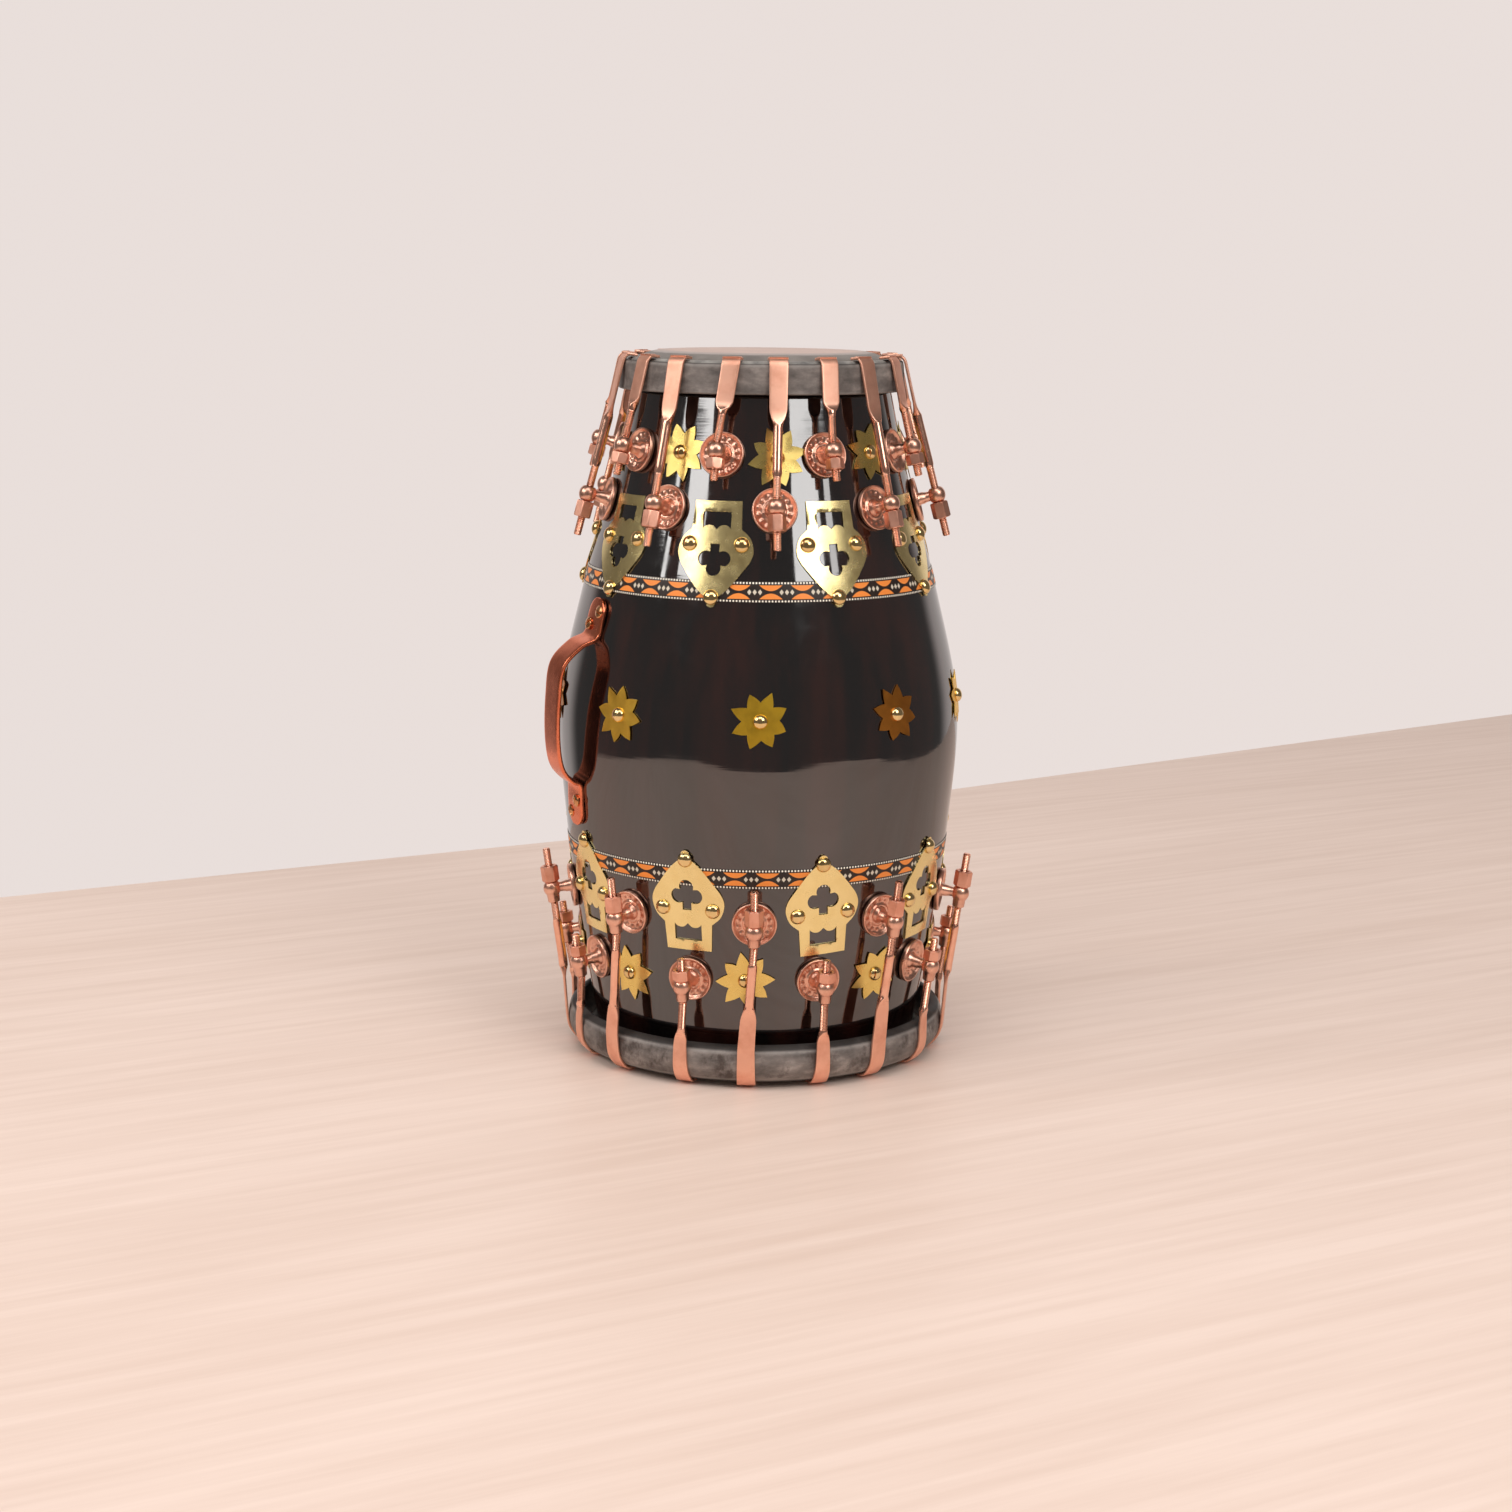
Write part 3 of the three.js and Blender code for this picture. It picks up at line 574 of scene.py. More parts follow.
def ornament_tape(name, middle, half, motifs):
    """A printed tape: dotted white lines at both edges, orange half ovals that face each other over a dark
    ground, and small plain lozenges between the motifs. Its forms read the azimuth as a share of a turn and
    the height above or below the tape's middle as a share of its half width."""
    add, finish = nodes_of(name)
    place = add("ShaderNodeSeparateXYZ", {"Vector": place_of(add)})
    turn = calc(add, "DIVIDE", calc(add, "ARCTAN2", place.outputs[1], place.outputs[0]), 2 * math.pi)
    up = calc(add, "DIVIDE", calc(add, "SUBTRACT", place.outputs[2], middle), half)
    level = calc(add, "ABSOLUTE", up)
    cell = tape_cell(add, turn, motifs)
    leaf = tape_leaf(add, cell, level)
    lozenge = tape_lozenge(add, tape_cell(add, turn, motifs * 6), cell, level)
    dots = tape_dot(add, tape_cell(add, turn, motifs * 10), level)
    threads = noise(add, place_of(add), 300, 3)
    colour = ramp(add, threads, [(0.3, (0.016, 0.010, 0.008)), (0.7, (0.03, 0.018, 0.013))])
    for form, paint in ((leaf, ORANGE_PRINT), (lozenge, CREAM_PRINT), (dots, WHITE_PRINT)):
        colour = mix(add, calc(add, "LESS_THAN", form, 1.0), colour, paint)
    weave = noise(add, place_of(add), 1400, 2, 0.5)
    return finish({"Base Color": colour, "Roughness": 0.42, "IOR": 1.45}, weave, bump_strength=0.1)


def dull_paste():
    """The black paste inside the bass skin: lumpy and without a shine."""
    add, finish = nodes_of("dark_paste")
    lumps = noise(add, place_of(add), 240, 5, 0.7)
    colour = ramp(add, lumps, [(0.3, (0.010, 0.008, 0.007)), (0.7, (0.03, 0.024, 0.02))])
    return finish({"Base Color": colour, "Roughness": 0.85}, lumps, 0.6, 0.8 * MM)


COPPER = plated("copper_plating", (0.87, 0.50, 0.37), (0.75, 0.38, 0.27), 0.26, 0.02)
NUT_COPPER = plated("nut_copper", (0.90, 0.47, 0.34), (0.74, 0.33, 0.22), 0.34)
HOOK_COPPER = plated("hook_copper", (0.97, 0.54, 0.39), (0.85, 0.42, 0.29), 0.18, 0.03, 0.42)
HANDLE_COPPER = plated("handle_copper", (0.88, 0.25, 0.125), (0.73, 0.185, 0.09), 0.2, 0.03)
SCREW_COPPER = plated("screw_copper", (0.72, 0.36, 0.16), (0.55, 0.24, 0.1), 0.2)
BRASS = plated("plate_brass", (0.95, 0.78, 0.37), (0.90, 0.72, 0.32), 0.2, 0.012)
STAR_BRASS = plated("star_brass", (0.90, 0.68, 0.22), (0.84, 0.61, 0.18), 0.24, 0.012)
BELLY_STAR_BRASS = [
    plated("belly_star_olive", (0.78, 0.50, 0.045), (0.68, 0.42, 0.04), 0.38, 0.02),
    plated("belly_star_brown", (0.52, 0.21, 0.035), (0.45, 0.17, 0.03), 0.38, 0.02),
    plated("belly_star_yellow", (1.0, 0.62, 0.09), (0.92, 0.54, 0.07), 0.34, 0.02),
]
NAIL_BRASS = plated("nail_brass", (0.86, 0.64, 0.30), (0.72, 0.50, 0.20), 0.1, 0.05)
LACQUER = black_lacquer()


def dress(piece, material, body, replaces=()):
    """Gives a piece its finish, hangs it on the body it rides on, and hides the nodes it stands for."""
    piece.data.materials.clear()
    piece.data.materials.append(material)
    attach(piece, body)
    if replaces:
        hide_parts(*replaces)
    return piece


# Shell


MOUTH_DEPTH = 9 * MM
MOUTH_CURVES = [2.5 * MM, 1.5 * MM]


def make_shell():
    """The barrel: the stave's curve outside, the same curve a wall inside, and rounded bearing edges."""
    heights = np.linspace(STAVE_LOW + MOUTH_DEPTH, STAVE_HIGH - MOUTH_DEPTH, 150)
    outside = np.stack([shell_radius(heights), heights], -1)
    inside = np.stack([shell_radius(heights) - WALL, heights], -1)[::-1]

    def mouth(outer, head, end, inner):
        """The bearing edge, from the outside round to the inside."""
        radius = head["bearing"]
        corners = [outer, [radius, end], [radius - WALL / 2, end], inner]
        return rounded(corners, MOUTH_CURVES)[1:-1]

    top = mouth(outside[-1], HEADS["treble"], STAVE_HIGH, inside[0])
    bottom = mouth(outside[0], HEADS["bass"], STAVE_LOW, inside[-1])
    profile = np.concatenate([outside, top, inside, bottom[::-1]])
    return put_mesh("shell_barrel", *turned_points(profile, 240, round_rows=True), 60)


# Heads: distances down are measured from the head's end towards the belly


def head_height(head, down):
    """The height of a distance down from a head's end."""
    return head["end"] - head["side"] * down


def hoop_side(head):
    """The hoop's outside as a smooth line of [radius, down] points, from its outer edge to its lip."""
    return smooth_line(head["hoop_line"], 5) * MM


def hoop_radius(head, down):
    """The radius of the hoop's outside at a distance down."""
    radius, downs = hoop_side(head).T
    return float(np.interp(down, downs, radius))


HOOP_THICKNESS = 3.0 * MM
HOOP_EDGE = 1.1 * MM
HOOP_DENT = 0.16 * MM
HOOP_DENT_RISE = 9 * MM
RING_RADIUS = 2.5 * MM


def ring_middle(head):
    """The radius and the distance down of the middle of the flesh ring's section."""
    return head["ring"], head["setback"] - head["ring_proud"] + RING_RADIUS


def beside(line, distance):
    """A line moved sideways by a distance, to the left of its own direction."""
    slope = np.gradient(line, axis=0)
    slope /= np.linalg.norm(slope, axis=1)[:, None]
    return line + np.stack([-slope[:, 1], slope[:, 0]], -1) * distance


def make_hoop(name, head):
    """The hoop's band: its outside, the same line a wall further in and round edges. Shallow dents move
    each point to radius + depth * the mean of four waves sin(k a + k^2) cos(0.7 k + down / rise)."""
    total = run_of(hoop_side(head))
    outside = along(hoop_side(head), np.linspace(HOOP_EDGE, total - HOOP_EDGE, 36))
    inner = beside(outside, HOOP_THICKNESS)

    def edge(start, end):
        """Half an oval from one side of the band to the other, bulging past its end."""
        turn = np.linspace(0, math.pi, 9)[1:-1, None]
        middle, half = (start + end) / 2, (start - end) / 2
        over = np.array([-half[1], half[0]]) / np.linalg.norm(half) * HOOP_EDGE
        return middle + half * np.cos(turn) + over * np.sin(turn)

    ends = edge(outside[-1], inner[-1]), edge(inner[0], outside[0])
    profile = np.concatenate([outside, ends[0], inner[::-1], ends[1]])
    points, faces = turned_points(profile, 256, round_rows=True)
    angle = np.arctan2(points[:, 0], -points[:, 1])
    rise = points[:, 2] / HOOP_DENT_RISE
    dents = sum(np.sin(k * angle + k * k) * np.cos(k * 0.7 + rise) for k in (5, 9, 14, 23)) / 4
    radius = np.hypot(points[:, 0], points[:, 1])
    points[:, :2] *= (1 + HOOP_DENT * dents / radius)[:, None]
    points[:, 2] = head_height(head, points[:, 2])
    return put_mesh(f"{name}_hoop_band", points, faces, 50)


def make_ring(name, head):
    """The flesh ring: a round section carried round the drum and swollen a little where the hide folds
    under it, by 0.06 times the mean of four waves sin(k a + 2.4 k)."""
    radius, down = ring_middle(head)
    turn = np.linspace(0, 2 * math.pi, 20, endpoint=False)
    profile = np.stack([radius + RING_RADIUS * np.cos(turn), down + RING_RADIUS * np.sin(turn)], -1)
    points, faces = turned_points(profile, 288, round_rows=True)
    angle = np.arctan2(points[:, 0], -points[:, 1])
    fold = sum(np.sin(k * angle + 2.4 * k) for k in (7, 13, 29, 47)) / 4
    middle = np.stack([radius * np.sin(angle), -radius * np.cos(angle), np.full_like(angle, down)], -1)
    points = middle + (points - middle) * (1 - 0.07 + 0.06 * fold)[:, None]
    points[:, 2] = head_height(head, points[:, 2])
    return put_mesh(f"{name}_lapped_ring", points, faces, 80)


SKIN_THICKNESS = 1.4 * MM
SKIN_CURVE = 7 * MM
COLLAR_CLEAR = 0.4 * MM
COLLAR_SHORT = 1.2 * MM


def make_skin(name, head):
    """The skin: flat to the bearing edge, rounded over it, then a straight collar down to the flesh ring.
    Its underside is the same line moved sideways by the thickness."""
    ring_radius, ring_down = ring_middle(head)
    end = [ring_radius - RING_RADIUS - COLLAR_CLEAR, ring_down - COLLAR_SHORT]
    top = rounded([[0, 0], [head["bearing"], 0], end], [SKIN_CURVE], 10)
    inner = np.linspace(0, 1, 14)[:-1, None] * top[1]
    top = np.concatenate([inner, top[1:]])
    under = beside(top, SKIN_THICKNESS)[::-1]
    under[-1, 0] = 0
    slope = np.gradient(top, axis=0)[-1]
    nose = (top[-1] + under[0]) / 2 + slope / np.linalg.norm(slope) * SKIN_THICKNESS / 2
    points, faces = turned_points(np.concatenate([top, [nose], under]), 192)
    points[:, 2] = head_height(head, points[:, 2])
    return put_mesh(f"{name}_playing_skin", points, faces, 60)


# Hook bolts


def swept(line, half_wide, half_thick, power, sides, scale=1.0):
    """A bar along a line of [out, up] points. At each point stands a rounded rectangle, square to the line:
    x = a sgn(cos t) |cos t|^(2/p) across the bar and y = b sgn(sin t) |sin t|^(2/p) through it."""
    slope = np.gradient(line, axis=0)
    slope /= np.linalg.norm(slope, axis=1)[:, None]
    turn = np.linspace(0, 2 * math.pi, sides, endpoint=False)
    wave = [np.sign(f(turn)) * np.abs(f(turn)) ** (2 / power[:, None]) for f in (np.cos, np.sin)]
    across = half_wide[:, None] * wave[0] * scale
    through = half_thick[:, None] * wave[1] * scale
    out = line[:, 0, None] - slope[:, 1, None] * through
    up = line[:, 1, None] + slope[:, 0, None] * through
    return np.stack([across, out, up], -1).reshape(-1, 3), grid_quads(len(line), sides)


def eased(value, low, high):
    """0 below low, 1 above high, and t^2 (3 - 2 t) between."""
    t = np.clip((value - low) / (high - low), 0, 1)
    return t * t * (3 - 2 * t)


def in_space(flat, degrees):
    """A point or a direction given as [out, up], in space at an azimuth."""
    return outwards(degrees) * flat[0] + np.array([0, 0, flat[1]])


def placed(points, degrees):
    """Points given as (across, out, up), turned to an azimuth: x * beside + y * outwards + z * up."""
    out, beside_out = outwards(degrees), outwards(degrees + 90)
    return points[:, :1] * beside_out + points[:, 1:2] * out + points[:, 2:] * [0, 0, 1]


def local_axis(joint):
    """A nut's middle and its rod's direction towards the hoop, as [out, up], and its azimuth in degrees."""
    middle, axis = np.array(joint["pos_m"]), np.array(joint["axis"])
    degrees = azimuth_of(middle)
    out = outwards(degrees)
    return np.array([middle @ out, middle[2]]), np.array([axis @ out, axis[2]]), degrees


def eye_place(joint, kind):
    """An eye's middle, its rod's direction and its azimuth, from its nut's joint."""
    nut, axis, degrees = local_axis(joint)
    return nut + axis * (EYE_HALF + SEAT_GAP + NUT_HEIGHT[kind] / 2), axis, degrees


# A hook's bends: how far its tip is inside the ring's middle, where it arches, its gap to the hoop's side,
# and the radius of each curve
CROOK_INSET = 2.4 * MM
ARCH_SHIFT = 0.6 * MM
ARCH_CURVE = 1.5 * MM
SIDE_GAP = 0.1 * MM
SIDE_CURVE = 2 * MM
ROD_CURVE = 3 * MM


def hook_corners(head):
    """A hook's corners as [out, up], from its crook's tip over the hoop's edge and down its side, and the
    radius of the curve at each corner but the tip. The crook lies on the flesh ring, and at the treble head
    it arches a little between the ring and the edge."""
    half, arch = STRIP_THICKNESS / 2, head["crook_arch"]
    ring_radius, _ = ring_middle(head)
    edge_radius = hoop_radius(head, head["setback"]) + half
    lie = head["setback"] - head["ring_proud"] - SEAT_GAP - half
    tip = [ring_radius - CROOK_INSET, lie + arch * 0.4]
    over = [[(ring_radius + edge_radius) / 2 + ARCH_SHIFT, lie - arch]] if arch else []
    edge = [edge_radius, lie - arch]
    downs = [down * MM for down in head["followed"]]
    side = [[hoop_radius(head, down) + half + SIDE_GAP, down] for down in downs]
    corners = [[radius, head_height(head, down)] for radius, down in [tip, *over, edge, *side]]
    return corners, [ARCH_CURVE] * len(over) + [head["crook"]] + [SIDE_CURVE] * len(side)


def hook_line(head, eye, axis, kind):
    """A hook's middle line from its crook's tip over the hoop's edge to the rod's end, its length, the
    distance along it at which it leaves the hoop, and the way from there to the eye."""
    corners, radii = hook_corners(head)
    start = head["setback"] + head["leave"] * head["hoop_height"]
    edge = np.array([hoop_radius(head, start), head_height(head, start)])
    reach = (eye - edge) @ -axis
    neck = head["shoulder"][kind][1] * MM
    rod_end = EYE_HALF + SEAT_GAP + NUT_HEIGHT[kind] + ROD_TAIL[kind]
    corners += [eye + axis * (reach - neck), eye - axis * rod_end]
    line = rounded(corners, [*radii, ROD_CURVE], 8)
    total = run_of(line)
    return line, total, total - rod_end - reach, reach


# A hook's sections: how many sides, where its tip rounds off, how close they stand on the crook, the strip
# and the rod, and how the rod's end is chamfered
HOOK_SIDES = 28
HOOK_TIP = 0.9 * MM
CROOK_RUN = 6 * MM
CROOK_STEP, STRIP_STEP, ROD_STEP = 0.7 * MM, 1.2 * MM, 2.5 * MM
ROD_END_STEPS = np.array([0.5, 0.2, 0]) * MM
ROD_END = 0.55 * MM
ROD_END_SHARE = 0.84
ROD_NARROWS = 2 * MM
THREAD_RUN_IN = 1 * MM


def hook_stations(zero, neck, thread, total):
    """The distances along a hook at which its sections stand: close together at its tip, its crook and its
    thread, and wider apart on the strip and the bare rod."""
    return np.concatenate([
        HOOK_TIP * (1 - np.cos(np.linspace(0, math.pi / 2, 5)[:-1])),
        np.arange(HOOK_TIP, zero + CROOK_RUN, CROOK_STEP),
        np.arange(zero + CROOK_RUN, neck, STRIP_STEP),
        np.arange(neck, thread, ROD_STEP),
        np.arange(thread, total - 0.6 * MM, THREAD_PITCH / 4),
        total - ROD_END_STEPS,
    ])


def hook_sections(strip_ends, stations, shoulder, neck, thread):
    """Half width, half thickness and roundness at each station. With t from 0 at the shoulder to 1 at the
    neck, they go from the strip's to the rod's by t^1.3, t^2 and 9 - 7 t^2."""
    taper = np.clip((stations - shoulder) / (neck - shoulder), 0, 1)
    strip = np.interp(stations, [0, shoulder], np.array(strip_ends) * MM)
    rod = ROD_RADIUS + (THREAD_RADIUS - ROD_RADIUS) * eased(stations, thread - ROD_NARROWS, thread)
    half_wide = strip + (rod - strip) * taper**1.3
    half_thick = STRIP_THICKNESS / 2 + (rod - STRIP_THICKNESS / 2) * taper**2
    return half_wide, half_thick, 9 - 7 * taper**2


def thread_scale(stations, thread, total):
    """The share of its section that a hook keeps at each station and angle: 1 - depth / r * |saw(s / pitch
    - t / 2 pi)| on the thread, a ridge that climbs one pitch a turn, and less towards both ends."""
    turn = np.linspace(0, 2 * math.pi, HOOK_SIDES, endpoint=False)
    saw = np.abs((stations[:, None] / THREAD_PITCH - turn / (2 * math.pi)) % 1 * 2 - 1)
    cut = eased(stations, thread - THREAD_RUN_IN, thread + THREAD_RUN_IN)[:, None]
    ends = np.minimum(stations, HOOK_TIP) / HOOK_TIP
    ends = np.sqrt(1 - (1 - ends) ** 2) * np.where(stations > total - ROD_END, ROD_END_SHARE, 1)
    scale = (1 - cut * THREAD_DEPTH / THREAD_RADIUS * saw) * ends[:, None]
    scale[[0, -1]] = 0
    return scale


def mark_strip(hook, eye, axis, degrees, neck, shoulder):
    """Gives a hook its "flat" attribute: 0 on the rod and 1 on the strip, eased between the neck and the
    shoulder by each point's distance from the eye along the rod."""
    flat = hook.data.attributes.new("flat", "FLOAT", "POINT")
    spots = np.zeros(len(hook.data.vertices) * 3, np.float32)
    hook.data.vertices.foreach_get("co", spots)
    way = in_space(axis, degrees)
    from_eye = spots.reshape(-1, 3) @ way - way @ in_space(eye, degrees)
    flat.data.foreach_set("value", eased(from_eye, neck, shoulder).astype(np.float32))


def make_hook(name, head, joint, kind, drift, shift):
    """A hook bolt: a flat strip that runs out in a pointed tongue on a round rod with a cut thread. Its
    strip is longer or shorter by a shift, and from its eye to the hoop it leans round the drum by a drift:
    azimuth = the eye's + drift * t, with t from 0 at the eye to 1 at the hoop."""
    eye, axis, degrees = eye_place(joint, kind)
    line, total, zero, reach = hook_line(head, eye, axis, kind)
    shoulder, neck = (zero + (at + shift) * MM for at in head["shoulder"][kind])
    thread = zero + head["thread"][kind] * MM
    stations = hook_stations(zero, neck, thread, total)
    sections = hook_sections(head["strip"][kind], stations, shoulder, neck, thread)
    scale = thread_scale(stations, thread, total)
    points, faces = swept(along(line, stations), *sections, HOOK_SIDES, scale)
    clear = EYE_HALF + head["eye_collar"] + EYE_CLEAR
    lean = drift * np.clip((zero + reach - clear - stations) / (reach - clear), 0, 1)
    hook = put_mesh(name, placed(points, degrees + np.repeat(lean, HOOK_SIDES)), faces, 50)
    mark_strip(hook, eye, axis, degrees, reach - neck + zero, reach - shoulder + zero)
    return hook


def along_rod(points, over, axis, middle, degrees):
    """Points whose Z runs along a rod and whose X runs over from it, moved to a middle at an azimuth."""
    flat = points[:, :1] * over + points[:, 2:] * axis
    return placed(np.concatenate([points[:, 1:2], flat + middle], 1), degrees)


# Lugs: an eye on a shank that stands out of a dished rosette

# The rosette's face from the shank to its rim, and its back, as [share of its radius, height in mm]
ROSETTE_FACE = [
    [0.26, 3.2], [0.31, 2.5], [0.36, 1.7], [0.40, 1.6], [0.44, 1.9], [0.48, 1.8],
    [0.52, 1.1], [0.57, 0.7], [0.62, 0.65], [0.67, 0.7], [0.72, 0.8], [0.77, 1.0],
    [0.82, 1.3], [0.87, 2.0], [0.91, 3.0], [0.95, 3.5], [0.985, 3.3], [1.0, 2.5],
]
ROSETTE_BACK = [[1.0, 0.9], [0.97, 0.3], [0.9, -0.2], [0.5, -0.6], [0.26, -0.6]]
ROSETTE_PETALS = 14
ROSETTE_BEAD = 1.1 * MM
ROSETTE_PETAL = 0.15 * MM


def rosette_points():
    """The rosette as height over radius and angle: a dished face with a rolled rim, a ring of beads
    exp(-((u - 0.7) / 0.085)^2 - (sin(n t / 2) / 0.6)^2) between low petals, and a raised ring round the
    shank. X is the height above the shell, along the shank."""
    turn = np.linspace(0, 2 * math.pi, 84, endpoint=False)
    share, height = np.array(ROSETTE_FACE).T[:, :, None]
    beads = np.exp(-(((share - 0.7) / 0.085) ** 2) - (np.sin(ROSETTE_PETALS * turn / 2) / 0.6) ** 2)
    petals = np.exp(-(((share - 0.46) / 0.05) ** 2)) * (0.5 + 0.5 * np.cos(ROSETTE_PETALS * turn))
    face = height * MM + (ROSETTE_BEAD * beads + ROSETTE_PETAL * petals)
    back_share, back_height = np.array(ROSETTE_BACK).T[:, :, None]
    radius = np.concatenate([share, back_share]) * ROSETTE_RADIUS + 0 * turn
    rise = np.concatenate([face, back_height * MM + 0 * turn])
    points = np.stack([rise, radius * np.sin(turn), radius * np.cos(turn)], -1)
    return points.reshape(-1, 3), grid_quads(len(radius), 84, round_rows=True)


BALL_STRETCH = 0.3 * MM


def eye_points(collar):
    """The ball: an arc (r cos a, (r + stretch) sin a) outside and a straight bore inside, carried round the
    rod, with a cone towards the hoop where the eye has a collar."""
    top = math.asin(EYE_HALF / (EYE_RADIUS + BALL_STRETCH))
    arc = np.linspace(-top, top if not collar else 0.75, 15)
    ball = np.stack([EYE_RADIUS * np.cos(arc), (EYE_RADIUS + BALL_STRETCH) * np.sin(arc)], -1)
    if collar:
        high = EYE_HALF + collar
        cone = [[EYE_BORE + 0.65 * MM, high - 0.5 * MM], [EYE_BORE + 0.3 * MM, high]]
        ball = np.concatenate([ball, cone])
    high = ball[-1, 1]
    bore = [
        [EYE_BORE + 0.1 * MM, high],
        [EYE_BORE, high - 0.3 * MM],
        [EYE_BORE, -EYE_HALF + 0.3 * MM],
        [EYE_BORE + 0.25 * MM, -EYE_HALF],
    ]
    return turned_points(np.concatenate([ball, bore]), 32, round_rows=True)


# The shank's neck as [radius, way from the eye's middle], and its foot as [wider by, way from the shell]
SHANK_NECK = np.array([[0, -3.6], [3.0, -3.7], [3.15, -5], [3.2, -6.5]]) * MM
SHANK_FOOT = np.array([[0, 7.2], [0.25, 6.8], [0.4, 4.4], [1.1, 2.8], [2.2, 1.7], [2.4, 0.6]]) * MM
SHANK_STEPS = np.arange(0, 60 * MM, 0.05 * MM)


def shank_points(reach):
    """The shank: a turned post from inside the ball to the rosette, with a step and a foot."""
    foot = SHANK_FOOT + [SHANK_RADIUS, -reach]
    profile = np.concatenate([SHANK_NECK, foot, [[0, foot[-1, 1]]]])
    points, faces = turned_points(profile, 28)
    return points[:, [2, 0, 1]], faces


def shank_reach(eye, over):
    """How far the shell lies from an eye along its shank: the first of close, even steps that is inside."""
    spots = eye - over * SHANK_STEPS[:, None]
    surface = shell_radius(np.clip(spots[:, 1], STAVE_LOW, STAVE_HIGH))
    return float(SHANK_STEPS[np.argmax(spots[:, 0] <= surface)])


def make_lug(name, head, joint, kind):
    """A lug in its eye's frame: X out along the shank, Z along the rod towards the hoop."""
    eye, axis, degrees = eye_place(joint, kind)
    over = np.array([axis[1], -axis[0]])
    over *= np.sign(over[0])
    reach = shank_reach(eye, over)
    rosette, rosette_faces = rosette_points()
    parts = [eye_points(head["eye_collar"]), shank_points(reach), (rosette - [reach, 0, 0], rosette_faces)]
    points, faces = joined(parts)
    return put_mesh(name, along_rod(points, over, axis, eye, degrees), faces, 72)


NUT_CHAMFER_RISE = np.array([0, 0.25, 0.5, 0.8]) * MM
NUT_CHAMFER_SHARE = 0.97
NUT_CHAMFER_SLOPE = 1.5
NUT_COUNTERSINK = 0.5 * MM
NUT_TURN = 37


def nut_points(kind):
    """A hexagon nut round Z, its middle at the origin. Its radius is the lesser of the hexagon's, half the
    flats / cos of the angle from the nearest flat, and a chamfer cone's."""
    turn = np.linspace(0, 2 * math.pi, 72, endpoint=False)
    fold = (turn + math.pi / 6) % (math.pi / 3) - math.pi / 6
    hexagon = NUT_HALF_FLATS / np.cos(fold)
    half = NUT_HEIGHT[kind] / 2
    cone = NUT_HALF_FLATS * NUT_CHAMFER_SHARE + NUT_CHAMFER_RISE * NUT_CHAMFER_SLOPE
    heights = np.concatenate([-half + NUT_CHAMFER_RISE, (half - NUT_CHAMFER_RISE)[::-1]])
    side = np.minimum(hexagon, np.concatenate([cone, cone[::-1]])[:, None])
    hole = NUT_BORE + np.array([1, 0, 0, 1]) * NUT_COUNTERSINK
    depths = [half, half - NUT_COUNTERSINK, -half + NUT_COUNTERSINK, -half]
    rows = np.concatenate([side, hole[:, None] + 0 * turn])
    levels = np.concatenate([heights, depths])
    points = np.stack([rows * np.cos(turn), rows * np.sin(turn), levels[:, None] + 0 * turn], -1)
    return points.reshape(-1, 3), grid_quads(len(levels), 72, round_rows=True)


def make_nut(name, joint, kind, turn_degrees):
    """A nut on its rod, turned by its own angle: (x cos a - y sin a, x sin a + y cos a, z)."""
    nut, axis, degrees = local_axis(joint)
    points, faces = nut_points(kind)
    angle = math.radians(turn_degrees)
    spin = [[math.cos(angle), math.sin(angle), 0], [-math.sin(angle), math.cos(angle), 0], [0, 0, 1]]
    over = np.array([axis[1], -axis[0]])
    return put_mesh(name, along_rod(points @ np.array(spin), over, axis, nut, degrees), faces, 30)


# Ornament


def arc_points(middle, radius, start, end, count):
    """Points of a circle's arc between two angles in degrees."""
    turn = np.radians(np.linspace(start, end, count))
    return np.array(middle) + radius * np.stack([np.cos(turn), np.sin(turn)], -1)


def mirrored(right):
    """A closed outline from its right half, which starts and ends on the middle line."""
    right = np.asarray(right, float)
    return np.concatenate([right, (right * [-1, 1])[::-1][1:-1]])


# The padlock plate's right half as [across, up] from its tip: its flank, and the ends of its two openings
PLATE_TOP = 66 * MM
PLATE_FLANK = np.array([
    [2.9, 5.4], [5.0, 7.0], [10.7, 12.4], [17.6, 21.3],
    [22.7, 28.6], [24.3, 35.2], [21.6, 43.0], [15.8, 48.4],
]) * MM
PLATE_SHACKLE = np.array([[14.8, 66], [0, 66]]) * MM
WINDOW_FOOT = np.array([[0, 48.2]]) * MM
WINDOW_ARM = np.array([[8.9, 49.6], [8.9, 59.3], [0, 59.3]]) * MM
KEYHOLE_ARM = np.array([[2.95, 34.4], [2.95, 39.3], [0, 39.3]]) * MM


def plate_outlines():
    """The padlock plate's outline, its window and its clover keyhole, from arcs, a smooth line through the
    flank's points and straight arms, with the tip at the origin and Y up."""
    tip = arc_points([0, 2.9 * MM], 2.9 * MM, -90, 25, 7)
    outline = mirrored(np.concatenate([tip, smooth_line(PLATE_FLANK, 5), PLATE_SHACKLE]))
    lobe = arc_points([4.6 * MM, 45.8 * MM], 5.1 * MM, 20, 118, 9)[::-1]
    lobe = lobe[lobe[:, 0] > 1.2 * MM][:-1]
    window = mirrored(np.concatenate([WINDOW_FOOT, lobe, WINDOW_ARM]))
    foot = arc_points([0, 24 * MM], 4.7 * MM, -90, 22, 9)
    side = arc_points([5.4 * MM, 30 * MM], 4.9 * MM, -68, 100, 13)
    return outline, [window, mirrored(np.concatenate([foot, side, KEYHOLE_ARM]))]


